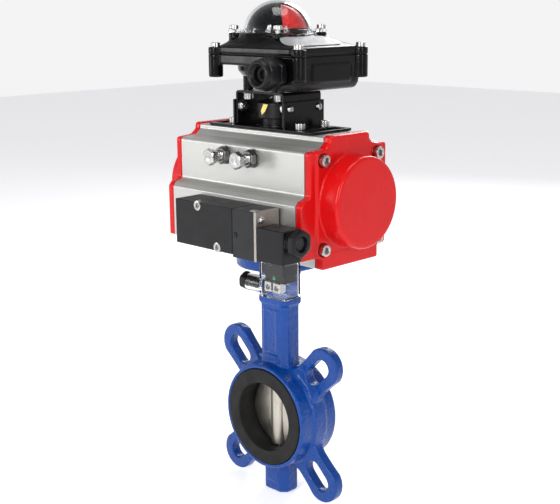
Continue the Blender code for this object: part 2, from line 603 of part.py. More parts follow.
def solenoid(dark, pilot, steel, bright, plastic, clear):
    body = prism(rect(SOL_LEFT, SOL_SEAM, SOL_FRONT, SOL_BACK), SOL_LOW, SOL_TOP, ease=0.5)
    pockets = [turned([(0, -90), (4.6, -90), (4.6, -82), (2.8, -82), (2.8, -50), (0, -50)], "Y",
                      (x, 0, z), 14) for x, z in (SCREW_A, SCREW_B)]
    ports = [rod(4.0, -75.5, -50, "Y", (x, 0, 186.2), 10) for x in (-12, 12)]
    ports += [rod(r, 160, 181.4, "Z", (x, -72, 0), 12) for x, r in ((-27, 4.8), (-8, 5.8), (24, 4.8))]
    spool_at = (0, -76.5, 186.2)
    node("solenoid_body", body, dark, cuts=[rod(5.3, -34, 40, "X", spool_at, 16), pockets, ports])
    steps = [(0, -33.5)]
    for x in (-33.5, -21, -8.5, 4, 16.5):
        steps += [(5.0, x), (5.0, x + 6.5), (3.0, x + 6.5), (3.0, x + 12.5)]
    steps = steps[:-2] + [(0, 23.0)]
    node("spool", turned(steps, "X", spool_at, 12), bright, origin=spool_at)
    for i, (x, z) in enumerate((SCREW_A, SCREW_B)):
        socket_screw(f"solenoid_screw_{i + 1}", "Y", (x, 0, z), -82.3, -1, 4.3, 3.7, 2.5, -49.5,
                     steel, 2.0, 12)
    tube_at = (0, TUBE_Y, TUBE_Z)
    node("pilot_block", prism(rect(SOL_SEAM + 0.3, SOL_RIGHT, SOL_FRONT, SOL_BACK), 165, SOL_TOP, ease=0.5),
         pilot, joins=[rod(4.5, 50, 97, "X", tube_at, 16)],
         cuts=[[rod(2.3, -90, -76.5, "Y", (35.5, 0, 184), 12)]])
    node("override_button", turned([(0, -79.0), (2.0, -79.0), (2.0, -86.1), (1.7, -86.5), (0, -86.5)],
                                   "Y", (35.5, 0, 184), 14), plastic, origin=(35.5, -82, 184))
    node("coil_plate", block(56.4, 59.2, SOL_FRONT, -60, 165, 205.3), steel,
         cuts=[rod(4.8, 50, 65, "X", tube_at, 16)])
    node("solenoid_coil", prism(rect(COIL_X0, COIL_X1, -86.2, -65), 166.3, 193.6, ease=0.5), plastic,
         cuts=[rod(4.8, 50, 100, "X", tube_at, 16)])
    node("coil_nut", turned([(4.8, 89.2), (9.8, 89.2), (9.8, 90.4), (8.8, 90.5), (8.8, 92.6),
                             (10.5, 92.7, "hex"), (10.5, 98.7, "hex"), (9.2, 99.4), (4.8, 99.4)], "X",
                            tube_at, 12), plastic)
    shell = prism(rect(60, 88, -84.5, -65), 137.5, 166.0, ease=0.4)
    at = (0, PLUG_Y, PLUG_Z)
    node("connector_housing", shell, clear, joins=[rod(7.2, 41, 61, "X", at, 16)],
         cuts=[block(61.5, 86.5, -83, -66.5, 139, 170), rod(4.7, 30, 64, "X", at, 12)])
    node("connector_block", block(62, 86, -82.5, -67, 156.5, 165.7, 0.3), dark,
         joins=[block(64.5, 85.5, -81, -68, 150.5, 158)])
    node("connector_nut", turned([(2.6, 33.3), (5.6, 33.3), (6.8, 34.3, "hex"), (6.8, 40.6, "hex"),
                                  (4.4, 40.7), (4.4, 50), (2.6, 50)], "X", at, 12), plastic)


def main():
    for old in list(bpy.data.objects):
        bpy.data.objects.remove(old, do_unlink=True)
    blue = material("blue_epoxy", (0.012, 0.09, 0.42), 0.0, 0.3)
    rubber = material("black_rubber", (0.035, 0.035, 0.035), 0.0, 0.7)
    disc_steel = material("disc_steel", (0.42, 0.39, 0.34), 1.0, 0.38)
    bright = material("bright_steel", (0.62, 0.62, 0.62), 1.0, 0.25)
    bronze = material("bronze", (0.5, 0.32, 0.12), 1.0, 0.4)
    anodised = material("anodised_aluminium", (0.6, 0.6, 0.57), 0.6, 0.45)
    red = material("red_enamel", (0.72, 0.014, 0.01), 0.0, 0.25)
    cast_alu = material("cast_aluminium", (0.55, 0.55, 0.55), 1.0, 0.5)
    gear_steel = material("gear_steel", (0.4, 0.4, 0.4), 1.0, 0.35)
    black_steel = material("black_steel", (0.012, 0.012, 0.012), 0.0, 0.35)
    black_cast = material("black_cast", (0.016, 0.016, 0.016), 0.0, 0.35)
    black_plastic = material("black_plastic", (0.02, 0.02, 0.021), 0.0, 0.45)
    pilot_plastic = material("pilot_plastic", (0.032, 0.033, 0.036), 0.0, 0.45)
    clear = material("clear_plastic", (0.9, 0.9, 0.9), 0.0, 0.05, 0.25)
    yellow = material("yellow_plastic", (0.75, 0.55, 0.05), 0.0, 0.4)
    red_plastic = material("red_plastic", (0.75, 0.02, 0.02), 0.0, 0.35)
    grey = material("grey_plastic", (0.2, 0.2, 0.2), 0.0, 0.5)
    green = material("green_plastic", (0.02, 0.3, 0.1), 0.0, 0.5)
    valve_body(blue)
    valve_inside(rubber, disc_steel, bronze, bright)
    actuator_body(anodised)
    end_cap("right_end_cap", 1, red)
    end_cap("left_end_cap", -1, red)
    cap_bolts(bright)
    pistons(cast_alu)
    pinion(gear_steel)
    node("upper_pinion_bearing", tube(11.3, 14.2, 246.3, 259.8, n=20), grey)
    node("lower_pinion_bearing", tube(13.3, 16.0, 153.4, 165, n=20), grey)
    stops(bright)
    bracket(black_steel, bright, black_plastic)
    switch_housing(black_cast)
    switch_lid(black_cast)
    dome_parts(clear, black_plastic, red_plastic)
    switch_inside(bright, rubber, yellow, red_plastic, grey, green)
    cable_gland(black_plastic)
    solenoid(black_plastic, pilot_plastic, bright, gear_steel, black_plastic, clear)


main()
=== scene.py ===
import math

import bmesh
import bpy
from mathutils import Matrix, Vector


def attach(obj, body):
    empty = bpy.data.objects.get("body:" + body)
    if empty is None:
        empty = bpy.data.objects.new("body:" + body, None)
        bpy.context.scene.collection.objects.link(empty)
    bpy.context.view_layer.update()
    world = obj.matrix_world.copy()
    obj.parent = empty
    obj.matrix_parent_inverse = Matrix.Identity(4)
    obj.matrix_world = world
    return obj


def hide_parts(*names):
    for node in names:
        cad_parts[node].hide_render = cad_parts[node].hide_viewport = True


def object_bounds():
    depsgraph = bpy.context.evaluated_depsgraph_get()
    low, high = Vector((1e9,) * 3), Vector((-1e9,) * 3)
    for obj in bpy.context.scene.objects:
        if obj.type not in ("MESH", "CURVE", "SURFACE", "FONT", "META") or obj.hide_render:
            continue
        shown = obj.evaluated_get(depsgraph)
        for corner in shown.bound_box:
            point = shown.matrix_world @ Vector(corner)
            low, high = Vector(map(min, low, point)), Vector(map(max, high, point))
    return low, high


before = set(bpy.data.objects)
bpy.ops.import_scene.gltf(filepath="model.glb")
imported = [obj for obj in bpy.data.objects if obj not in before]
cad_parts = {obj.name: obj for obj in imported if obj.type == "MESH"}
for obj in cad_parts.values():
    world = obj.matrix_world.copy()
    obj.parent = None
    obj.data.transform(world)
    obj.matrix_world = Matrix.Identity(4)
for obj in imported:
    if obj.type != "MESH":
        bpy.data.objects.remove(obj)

CAD_BOX = [list(p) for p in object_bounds()]
MM = 0.001

# sizes repeated from the CAD model, in millimetres
ACT_Z = 206.25
FOOT_HALF, MID_HALF, TOP_HALF, PAD_Y = 34.7, 46.9, 24.3, 57.6
FOOT_LOW, PAD_LOW, PAD_TOP, MID_TOP, BODY_TOP, CAP_TOP = 152.9, 163.4, 207.7, 250.2, 260.2, 261.5
BOX_X, BOX_HX, BOX_HY, LID_SX, LID_SY = 11.5, 50.0, 39.5, 48.8, 37.6
DOME_S, DOME_R, DOME_Z = 26.1, 28.3, 339.7
SOL_FRONT, SOL_BACK = -86.0, -57.9
TUBE_Y, TUBE_Z, PLUG_Y, PLUG_Z = -75.5, 184.0, -75.0, 144.5
SPOOL_Y, SPOOL_Z, PORT_X = -76.5, 186.2, 12
SOLENOID_SCREWS = ((-11, 202), (12.5, 170))      # (x, z)
GLAND_AT = (38, 0, 310)
STOP_X, STOP_Z = 16.3, 240
SLOT_IN, SLOT_OUT, SLOT_R = 62.0, 76.0, 8        # lug slot: radii of its two end centres, half width
FLANGE_XY = 17.7                                 # half pitches of the screw patterns
FOOT_X, FOOT_Y = 40, 15
SHELF_X, SHELF_Y = 19, 17
SIDE_Y, SIDE_Z = 17.5, 279
BOX_R, RING_R = 10, 32.5
# the lid's slope: (height, inset from the box's outline, share of the way to the ring under the dome)
SLOPE = ((330.2, 1.2, 0), (333.0, 2, 0.32), (337.5, 2, 0.72), (340.3, 2, 1.0))


# ---------------------------------------------------------------- shapes, as in the CAD model

def skin(rings, closed=False):
    verts, faces, at = [], [], []
    for ring in rings:
        at.append((len(verts), len(ring)))
        verts.extend(ring)
    pairs = list(zip(at, at[1:] + ([at[0]] if closed else [])))
    for (a, na), (b, nb) in pairs[:len(rings) if closed else len(rings) - 1]:
        n = max(na, nb)
        for k in range(n):
            j = (k + 1) % n
            if na == 1:
                faces.append((a, b + j, b + k))
            elif nb == 1:
                faces.append((a + k, a + j, b))
            else:
                faces.append((a + k, a + j, b + j, b + k))
    if not closed:
        for start, n in (at[0], at[-1]):
            if n > 1:
                faces.append(tuple(range(start, start + n)))
    return verts, faces


def place(u, v, h, axis, at=(0, 0, 0)):
    p = {"X": (h, u, v), "Y": (u, h, v), "Z": (u, v, h)}[axis]
    return (p[0] + at[0], p[1] + at[1], p[2] + at[2])


def reach(kind, r, a):
    """Radius at angle a. A pair ("hex", limit) cuts the hexagon's corners off at that radius."""
    if isinstance(kind, tuple):
        return min(reach(kind[0], r, a), kind[1])
    if kind == "hex":
        return r / math.cos((a + math.pi / 6) % (math.pi / 3) - math.pi / 6)
    return r


def turned(profile, axis="Z", at=(0, 0, 0), n=64):
    rings = []
    for step in profile:
        r, h = step[0], step[1]
        kind = step[2] if len(step) > 2 else "round"
        if r == 0:
            rings.append([place(0, 0, h, axis, at)])
            continue
        ring = []
        for k in range(n):
            a = 2 * math.pi * k / n
            q = reach(kind, r, a)
            ring.append(place(q * math.cos(a), q * math.sin(a), h, axis, at))
        rings.append(ring)
    return skin(rings, closed=profile[0][0] > 0 and profile[-1][0] > 0)


def rod(r, lo, hi, axis="Z", at=(0, 0, 0), n=48, ease=0.0):
    if ease:
        steps = [(0, lo), (r - ease, lo), (r, lo + ease), (r, hi - ease), (r - ease, hi), (0, hi)]
    else:
        steps = [(0, lo), (r, lo), (r, hi), (0, hi)]
    return turned(steps, axis, at, n)


def rounded(corners, k=6):
    out = []
    count = len(corners)
    for i, (x, y, r) in enumerate(corners):
        if r <= 0:
            out.append((x, y))
            continue
        ax, ay = corners[i - 1][0] - x, corners[i - 1][1] - y
        bx, by = corners[(i + 1) % count][0] - x, corners[(i + 1) % count][1] - y
        la, lb = math.hypot(ax, ay), math.hypot(bx, by)
        ax, ay, bx, by = ax / la, ay / la, bx / lb, by / lb
        half = math.acos(max(-1, min(1, ax * bx + ay * by))) / 2
        t = r / math.tan(half)
        mx, my = ax + bx, ay + by
        lm = math.hypot(mx, my)
        cx, cy = x + mx / lm * r / math.sin(half), y + my / lm * r / math.sin(half)
        a0 = math.atan2(y + ay * t - cy, x + ax * t - cx)
        a1 = math.atan2(y + by * t - cy, x + bx * t - cx)
        turn = (a1 - a0 + math.pi) % (2 * math.pi) - math.pi
        for s in range(k + 1):
            a = a0 + turn * s / k
            out.append((cx + r * math.cos(a), cy + r * math.sin(a)))
    return out


def inset(outline, d):
    out = []
    n = len(outline)
    for i, (x, y) in enumerate(outline):
        x0, y0 = outline[i - 1]
        x1, y1 = outline[(i + 1) % n]
        e0, e1 = (x - x0, y - y0), (x1 - x, y1 - y)
        l0, l1 = math.hypot(*e0) or 1, math.hypot(*e1) or 1
        n0, n1 = (-e0[1] / l0, e0[0] / l0), (-e1[1] / l1, e1[0] / l1)
        mx, my = n0[0] + n1[0], n0[1] + n1[1]
        f = 2 * d / max(mx * mx + my * my, 0.5)
        out.append((x + mx * f, y + my * f))
    return out


def loft(sections, axis="Z", at=(0, 0, 0), closed=False):
    return skin([[place(u, v, h, axis, at) for u, v in line] for h, line in sections], closed)


def prism(outline, lo, hi, axis="Z", at=(0, 0, 0), ease=0.0, steps=3):
    """Bar with rounded ends of radius ease."""
    if not ease:
        return loft([(lo, outline), (hi, outline)], axis, at)
    low = []
    for i in range(steps, -1, -1):
        a = math.pi / 2 * i / steps
        low.append((lo + ease * (1 - math.sin(a)), inset(outline, ease * (1 - math.cos(a)))))
    return loft(low + [(lo + hi - h, line) for h, line in low[::-1]], axis, at)


def rect(x0, x1, y0, y1, r=0.0, k=5):
    return rounded([(x0, y0, r), (x1, y0, r), (x1, y1, r), (x0, y1, r)], k)


def block(x0, x1, y0, y1, z0, z1, r=0.6):
    """Box with all its edges rounded."""
    return prism(rect(x0, x1, y0, y1, r, 3), z0, z1, "Z", ease=r * 0.9)


def spun(points, a):
    c, s = math.cos(a), math.sin(a)
    return [(x * c - y * s, x * s + y * c) for x, y in points]


def arc(r, z, a0, a1, k):
    out = []
    for i in range(k + 1):
        a = math.radians(a0 + (a1 - a0) * i / k)
        q = r * math.cos(a)
        out.append((0 if q < 1e-6 else q, z + r * math.sin(a)))
    return out


def broad(profile, k):
    """Turned profile with every radius made k times as large."""
    return [(r * k, h) for r, h in profile]


def corners4(x, y):
    return [(-x, -y), (x, -y), (x, y), (-x, y)]


def threads(r, lo, hi, pitch=1.25):
    """Profile steps of a threaded stretch, from lo to hi along the axis."""
    out = []
    count = max(1, int(abs(hi - lo) / pitch))
    step = (hi - lo) / count
    for i in range(count):
        out += [(r, lo + step * (i + 0.1)), (r, lo + step * (i + 0.4)), (r - 0.55, lo + step * (i + 0.7))]
    return out


# ---------------------------------------------------------------- objects

def solid_mesh(name, solids):
    bm = bmesh.new()
    for verts, faces in solids:
        made = [bm.verts.new([p * MM for p in v]) for v in verts]
        for f in faces:
            bm.faces.new([made[i] for i in f])
    bmesh.ops.recalc_face_normals(bm, faces=bm.faces[:])
    mesh = bpy.data.meshes.new(name)
    bm.to_mesh(mesh)
    bm.free()
    return mesh


def linked(name, mesh):
    obj = bpy.data.objects.new(name, mesh)
    bpy.context.scene.collection.objects.link(obj)
    return obj


def applied(obj):
    """Makes what the modifiers show the object's own mesh."""
    bpy.context.view_layer.update()
    dg = bpy.context.evaluated_depsgraph_get()
    mesh = bpy.data.meshes.new_from_object(obj.evaluated_get(dg), preserve_all_data_layers=True,
                                           depsgraph=dg)
    obj.modifiers.clear()
    old = obj.data
    obj.data = mesh
    bpy.data.meshes.remove(old)


def combine(obj, tools, operation):
    for i, body in enumerate(tools):
        body = body if isinstance(body, list) else [body]
        tool = linked(f"tool_{i}", solid_mesh("tool", body))
        mod = obj.modifiers.new("b", "BOOLEAN")
        mod.operation, mod.solver, mod.object = operation, "EXACT", tool
        applied(obj)
        bpy.data.objects.remove(tool, do_unlink=True)


def piece(name, solids, mat, body="housing", stands_for=(), joins=(), cuts=(), bevel=0.0,
          segments=2, cast=None, sharp=32):
    """A visible piece. cast=(voxel, rounds) gives the soft edges of a casting."""
    obj = linked(name, solid_mesh(name, solids if isinstance(solids, list) else [solids]))
    combine(obj, joins, "UNION")
    combine(obj, cuts, "DIFFERENCE")
    if cast:
        mod = obj.modifiers.new("cast", "REMESH")
        mod.mode, mod.voxel_size = "VOXEL", cast[0] * MM
        mod = obj.modifiers.new("soften", "SMOOTH")
        mod.factor, mod.iterations = 0.5, cast[1]
        applied(obj)
    if bevel:
        mod = obj.modifiers.new("edges", "BEVEL")
        mod.width, mod.segments, mod.limit_method = bevel * MM, segments, "ANGLE"
        mod.angle_limit, mod.use_clamp_overlap = math.radians(34), False
        mod.miter_outer = "MITER_ARC"
        applied(obj)
    obj.data.materials.clear()
    obj.data.materials.append(mat)
    obj.data.shade_smooth()
    if not cast:
        obj.data.set_sharp_from_angle(angle=math.radians(sharp))
        mod = obj.modifiers.new("flat", "WEIGHTED_NORMAL")
        mod.keep_sharp = True
        applied(obj)
    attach(obj, body)
    if stands_for:
        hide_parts(*([stands_for] if isinstance(stands_for, str) else stands_for))
    return obj


# ---------------------------------------------------------------- materials

class Paint:
    """A Principled material with noise-driven colour, roughness and bump in object space."""

    def __init__(self, name, colour, metallic=0.0, roughness=0.4, **sockets):
        self.m = bpy.data.materials.new(name)
        self.m.use_nodes = True
        self.t = self.m.node_tree
        self.b = self.t.nodes["Principled BSDF"]
        self.colour = colour
        self.b.inputs["Base Color"].default_value = (*colour, 1)
        self.b.inputs["Metallic"].default_value = metallic
        self.b.inputs["Roughness"].default_value = roughness
        for k, v in sockets.items():
            self.b.inputs[k.replace("_", " ")].default_value = v
        self.place = self.t.nodes.new("ShaderNodeTexCoord").outputs["Object"]
        self.normal = None

    def stretched(self, scale):
        m = self.t.nodes.new("ShaderNodeMapping")
        m.inputs["Scale"].default_value = scale
        self.t.links.new(self.place, m.inputs["Vector"])
        return m.outputs["Vector"]

    def noise(self, scale, detail=3.0, rough=0.5, stretch=None):
        n = self.t.nodes.new("ShaderNodeTexNoise")
        n.inputs["Scale"].default_value = scale
        n.inputs["Detail"].default_value = detail
        n.inputs["Roughness"].default_value = rough
        self.t.links.new(self.stretched(stretch) if stretch else self.place, n.inputs["Vector"])
        return n.outputs["Fac"]

    def ramp(self, value, stops):
        r = self.t.nodes.new("ShaderNodeValToRGB")
        e = r.color_ramp.elements
        e[0].position, e[0].color = stops[0][0], (*stops[0][1], 1)
        e[1].position, e[1].color = stops[-1][0], (*stops[-1][1], 1)
        for pos, col in stops[1:-1]:
            x = e.new(pos)
            x.color = (*col, 1)
        self.t.links.new(value, r.inputs["Fac"])
        return r.outputs["Color"]

    def tint(self, scale=30.0, spread=0.12, detail=4.0, stretch=None):
        """Slow colour variation round the base colour."""
        lo = tuple(c * (1 - spread) for c in self.colour)
        hi = tuple(min(1, c * (1 + spread)) for c in self.colour)
        out = self.ramp(self.noise(scale, detail, 0.55, stretch), [(0.3, lo), (0.7, hi)])
        self.t.links.new(out, self.b.inputs["Base Color"])
        return self

    def rough(self, lo, hi, scale=60.0, detail=3.0, stretch=None):
        r = self.t.nodes.new("ShaderNodeMapRange")
        r.inputs["From Min"].default_value, r.inputs["From Max"].default_value = 0.3, 0.7
        r.inputs["To Min"].default_value, r.inputs["To Max"].default_value = lo, hi
        self.t.links.new(self.noise(scale, detail, 0.5, stretch), r.inputs["Value"])
        self.t.links.new(r.outputs["Result"], self.b.inputs["Roughness"])
        return self

    def bump(self, scale, depth_mm, strength=1.0, detail=2.0, stretch=None):
        n = self.t.nodes.new("ShaderNodeBump")
        n.inputs["Strength"].default_value = strength
        n.inputs["Distance"].default_value = depth_mm * MM
        self.t.links.new(self.noise(scale, detail, 0.5, stretch), n.inputs["Height"])
        if self.normal:
            self.t.links.new(self.normal, n.inputs["Normal"])
        self.normal = n.outputs["Normal"]
        self.t.links.new(self.normal, self.b.inputs["Normal"])
        self.t.links.new(self.normal, self.b.inputs["Coat Normal"])
        return self


blue = Paint("blue_epoxy_cast", (0.0004, 0.046, 0.25), 0.0, 0.3, Coat_Weight=0.3, Coat_Roughness=0.06,
             Specular_IOR_Level=0.2) \
    .tint(22, 0.10).rough(0.24, 0.40, 90).bump(260, 1.1, 0.8, 3).bump(900, 0.15, 0.6, 2)
rubber = Paint("black_rubber", (0.012, 0.012, 0.012), 0.0, 0.62, Specular_IOR_Level=0.2) \
    .tint(60, 0.2).rough(0.5, 0.72, 80).bump(1500, 0.03, 0.5)
disc_steel = Paint("disc_steel", (0.50, 0.47, 0.41), 1.0, 0.36) \
    .tint(50, 0.08).rough(0.3, 0.45, 120).bump(700, 0.05, 0.4, 4)
steel = Paint("bright_steel", (0.50, 0.49, 0.48), 1.0, 0.26) \
    .tint(150, 0.08).rough(0.18, 0.34, 250).bump(1200, 0.02, 0.4)
dark_steel = Paint("threaded_steel", (0.22, 0.22, 0.22), 1.0, 0.34).tint(300, 0.15).rough(0.26, 0.42, 300)
anodised = Paint("anodised_aluminium", (0.52, 0.52, 0.50), 0.78, 0.37, Specular_IOR_Level=0.4) \
    .tint(40, 0.03, 2, (0.05, 1, 1)).rough(0.32, 0.42, 60, 3, (0.04, 1, 1)) \
    .bump(900, 0.012, 0.35, 2, (0.03, 1, 1))
red = Paint("red_enamel", (0.56, 0.005, 0.006), 0.0, 0.26, Coat_Weight=0.2, Coat_Roughness=0.05,
            Specular_IOR_Level=0.15) \
    .tint(15, 0.05).rough(0.2, 0.3, 50).bump(420, 0.012, 0.2, 2)
black_steel = Paint("black_painted_steel", (0.002, 0.002, 0.003), 0.0, 0.3, Specular_IOR_Level=0.2) \
    .tint(60, 0.25).rough(0.24, 0.38, 120).bump(900, 0.02, 0.35)
black_cast = Paint("black_enamel_cast", (0.0015, 0.0015, 0.002), 0.0, 0.2, Specular_IOR_Level=0.2) \
    .tint(40, 0.25).rough(0.15, 0.25, 90).bump(500, 0.02, 0.3, 3)
brushed = Paint("brushed_sheet_steel", (0.40, 0.38, 0.35), 1.0, 0.4) \
    .tint(60, 0.1, 3, (1, 1, 0.1)).rough(0.36, 0.5, 90, 3, (1, 1, 0.08)) \
    .bump(900, 0.02, 0.5, 2, (1, 1, 0.05))
nylon = Paint("black_nylon", (0.005, 0.005, 0.006), 0.0, 0.36, Specular_IOR_Level=0.25) \
    .tint(80, 0.2).rough(0.3, 0.44, 150).bump(1100, 0.02, 0.4)
sol_black = Paint("solenoid_black", (0.010, 0.010, 0.011), 0.0, 0.46, Specular_IOR_Level=0.22) \
    .tint(50, 0.15).rough(0.42, 0.54, 120).bump(1400, 0.02, 0.4)
sol_grey = Paint("pilot_grey", (0.018, 0.019, 0.021), 0.0, 0.46, Specular_IOR_Level=0.22) \
    .tint(50, 0.12).rough(0.42, 0.54, 120).bump(1400, 0.02, 0.4)
shade_black = Paint("gloss_black", (0.004, 0.005, 0.007), 0.0, 0.14, Specular_IOR_Level=0.5) \
    .tint(60, 0.2).rough(0.1, 0.18, 90)
clear = Paint("clear_polycarbonate", (0.97, 0.98, 0.98), 0.0, 0.03, Transmission_Weight=1.0, IOR=1.25) \
    .bump(60, 0.02, 0.15)
label_mat = Paint("blank_label", (0.30, 0.31, 0.32), 0.1, 0.45).tint(120, 0.08).rough(0.36, 0.5, 200)
yellow = Paint("yellow_print", (0.80, 0.62, 0.16), 0.0, 0.45).tint(200, 0.1).rough(0.4, 0.5, 200)
green = Paint("green_plastic", (0.03, 0.30, 0.14), 0.0, 0.4).tint(100, 0.1).rough(0.35, 0.5, 150)
grey_plastic = Paint("grey_acetal", (0.16, 0.16, 0.16), 0.0, 0.45).tint(90, 0.1).rough(0.4, 0.5, 150)
bronze = Paint("bronze", (0.50, 0.30, 0.12), 1.0, 0.4).tint(150, 0.12).rough(0.3, 0.5, 200)
cast_alu = Paint("plain_casting", (0.55, 0.55, 0.56), 1.0, 0.45).tint(90, 0.08).rough(0.4, 0.55, 150)
red_plastic = Paint("red_plastic", (0.65, 0.02, 0.015), 0.0, 0.35).tint(80, 0.06).rough(0.3, 0.4, 150)


def rotor_paint():
    """Red on the two quarters about X, yellow on the two about Y."""
    p = Paint("rotor_red_yellow", (0.8, 0.03, 0.03), 0.0, 0.3)
    t = p.t
    parts = t.nodes.new("ShaderNodeSeparateXYZ")
    t.links.new(p.place, parts.inputs["Vector"])
    size = []
    for k in "XY":
        n = t.nodes.new("ShaderNodeMath")
        n.operation = "ABSOLUTE"
        t.links.new(parts.outputs[k], n.inputs[0])
        size.append(n.outputs[0])
    g = t.nodes.new("ShaderNodeMath")
    g.operation = "GREATER_THAN"
    t.links.new(size[0], g.inputs[0])
    t.links.new(size[1], g.inputs[1])
    soft = p.ramp(p.noise(80, 3), [(0.3, (0.62, 0.022, 0.022)), (0.7, (0.80, 0.035, 0.032))])
    gold = p.ramp(p.noise(80, 3), [(0.3, (0.75, 0.52, 0.03)), (0.7, (0.85, 0.60, 0.05))])
    mix = t.nodes.new("ShaderNodeMix")
    mix.data_type = "RGBA"
    t.links.new(g.outputs[0], mix.inputs["Factor"])
    t.links.new(gold, mix.inputs["A"])
    t.links.new(soft, mix.inputs["B"])
    t.links.new(mix.outputs["Result"], p.b.inputs["Base Color"])
    return p.rough(0.25, 0.35, 120)


for word, paint in {
        "valve_stem": steel, "upper_stem_bushing": bronze, "lower_stem_bushing": bronze,
        "stem_seal": rubber, "left_piston": cast_alu, "right_piston": cast_alu, "pinion": dark_steel,
        "upper_pinion_bearing": grey_plastic, "lower_pinion_bearing": grey_plastic, "lid_gasket": rubber,
        "switch_shaft": steel, "lower_cam": yellow, "upper_cam": red_plastic,
        "open_microswitch": grey_plastic, "closed_microswitch": grey_plastic, "terminal_strip": green,
        "spool": steel, "override_button": nylon}.items():
    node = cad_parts[word]
    node.data.materials.clear()
    node.data.materials.append(paint.m)


# ---------------------------------------------------------------- valve

def chamfered(hx, hy, c):
    return [(-hx + c, -hy), (hx - c, -hy), (hx, -hy + c), (hx, hy - c),
            (hx - c, hy), (-hx + c, hy), (-hx, hy - c), (-hx, -hy + c)]


def lug(a):
    end = [(76.5 + 18 * math.cos(math.radians(t)), 18 * math.sin(math.radians(t)))
           for t in range(-80, 81, 8)]
    root = [(30.0, 30.0), (43.0, 21.5), (46.0, 19.4), (50.0, 17.6), (55.0, 16.8), (60.0, 16.6),
            (70.0, 17.0)]
    line = spun([(x, -y) for x, y in root] + end + root[::-1], a)
    return prism(line, -4.3, 5.7, "Y", ease=1.2)


def lug_root(a):
    """Thicker foot of a lug, blending it into the ring. a is measured from +X about the bore."""
    rings = []
    for r, front, rear, half in ((38, -8.6, 9.9, 22), (43, -8.0, 9.3, 20.0), (46, -7.2, 8.5, 18.7),
                                 (49, -6.2, 7.5, 17.6), (52, -5.3, 6.6, 17.0), (55, -4.7, 6.0, 16.7),
                                 (58, -4.2, 5.6, 16.5)):
        line = rect(-half, half, front, rear, 2.6, 5)
        rings.append([(r * math.cos(a) - u * math.sin(a), y, r * math.sin(a) + u * math.cos(a))
                      for u, y in line])
    return skin(rings)


def lug_slot(a):
    line = [(centre + SLOT_R * math.cos(math.radians(t)), SLOT_R * math.sin(math.radians(t)))
            for centre, first in ((SLOT_OUT, -90), (SLOT_IN, 90)) for t in range(first, first + 181, 9)]
    return prism(spun(line, a), -20, 20, "Y")


def frame_panel(x, z0, z1, y, rim):
    """Raised blank panel with a rim, standing on a front face."""
    return [block(-x, x, y, 8, z0, z1, 0.5), block(-x, -x + rim, y - 0.7, 8, z0, z1, 0.4),
            block(x - rim, x, y - 0.7, 8, z0, z1, 0.4), block(-x, x, y - 0.7, 8, z0, z0 + rim, 0.4),
            block(-x, x, y - 0.7, 8, z1 - rim, z1, 0.4)]


def valve():
    ring = turned([(0, -22.5), (47.6, -22.5), (48.5, -21.4), (48.5, -8.4), (50.5, -6.2), (50.5, 7.4),
                   (48.5, 9.6), (48.5, 21.4), (47.6, 22.5), (0, 22.5)], "Y", n=180)
    slim, wide = chamfered(17, 11.5, 5), chamfered(18.5, 13, 5)
    neck = loft([(40, slim), (103.2, slim), (104.4, wide), (109.6, wide), (110.8, slim), (126, slim),
                 (132, chamfered(18.6, 13.6, 5.8)), (137, chamfered(21, 17, 7)),
                 (141, chamfered(23, 19.5, 8))])
    boss = loft([(-76, chamfered(13.2, 9.7, 5)), (-74.2, chamfered(15, 11.5, 5.6)),
                 (-40, chamfered(15, 11.5, 5.6))])
    flange = turned([(0, 139.5), (37.4, 139.5), (38.4, 140.5), (38.4, 151.6), (37.4, 152.6),
                     (0, 152.6)], n=120)
    diagonals = [math.radians(a) for a in (45, 135, 225, 315)]
    bore = turned([(0, -40), (44.9, -40), (44.9, -18.7), (38.3, -18.7), (38.3, 18.7), (44.9, 18.7),
                   (44.9, 40), (0, 40)], "Y", n=180)
    holes = [rod(3.5, 135, 160, at=(x, y, 0)) for x, y in corners4(FLANGE_XY, FLANGE_XY)]
    seats = [rod(6.4, 128, 139.5, at=(x, y, 0)) for x, y in corners4(FLANGE_XY, FLANGE_XY)]
    piece("valve_casting", ring, blue.m, stands_for="valve_body",
          joins=[lug(a) for a in diagonals] + [lug_root(a) for a in diagonals] + [neck, boss, flange]
          + frame_panel(8.6, 57.5, 99.0, -12.2, 1.5) + [block(-7.5, 7.5, -12.2, 8, -66, -56, 0.5)],
          cuts=[bore, rod(8.7, -70, 160), [lug_slot(a) for a in diagonals], seats, holes],
          cast=(0.8, 10))
    for i, (x, y) in enumerate(corners4(FLANGE_XY, FLANGE_XY)):
        hex_screw(f"flange_bolt_{i + 1}", "Z", (x, y, 0), 139.5, -1, 4.9, 4.0, 2.9, 154.5, steel)

    half = [(32.7, 7.0), (31.4, 10.0), (31.4, 21.6), (31.6, 22.4), (32.2, 23.0), (33.0, 23.2), (43.4, 23.2),
            (44.2, 22.9), (44.6, 22.2), (44.6, 19.0), (38.0, 19.0)]
    seat = turned([(r, -y) for r, y in half] + half[::-1], "Y", n=180)
    piece("rubber_seat", seat, rubber.m, stands_for="seat_liner", cuts=[rod(6.6, -60, 60)])
    plate = turned([(0, -4.8), (12, -4.5), (28.6, -3.4), (31.2, -2.6), (32.2, -1.4), (32.4, 0), (32.2, 1.4),
                    (31.2, 2.6), (28.6, 3.4), (12, 4.5), (0, 4.8)], "Y", n=160)
    piece("valve_disc", plate, disc_steel.m, "turning", "disc",
          joins=[rod(8.7, -31.1, 31.1, n=96, ease=0.8)], cuts=[rod(6.6, -40, 40)], bevel=0.5, segments=3)


# ---------------------------------------------------------------- fasteners

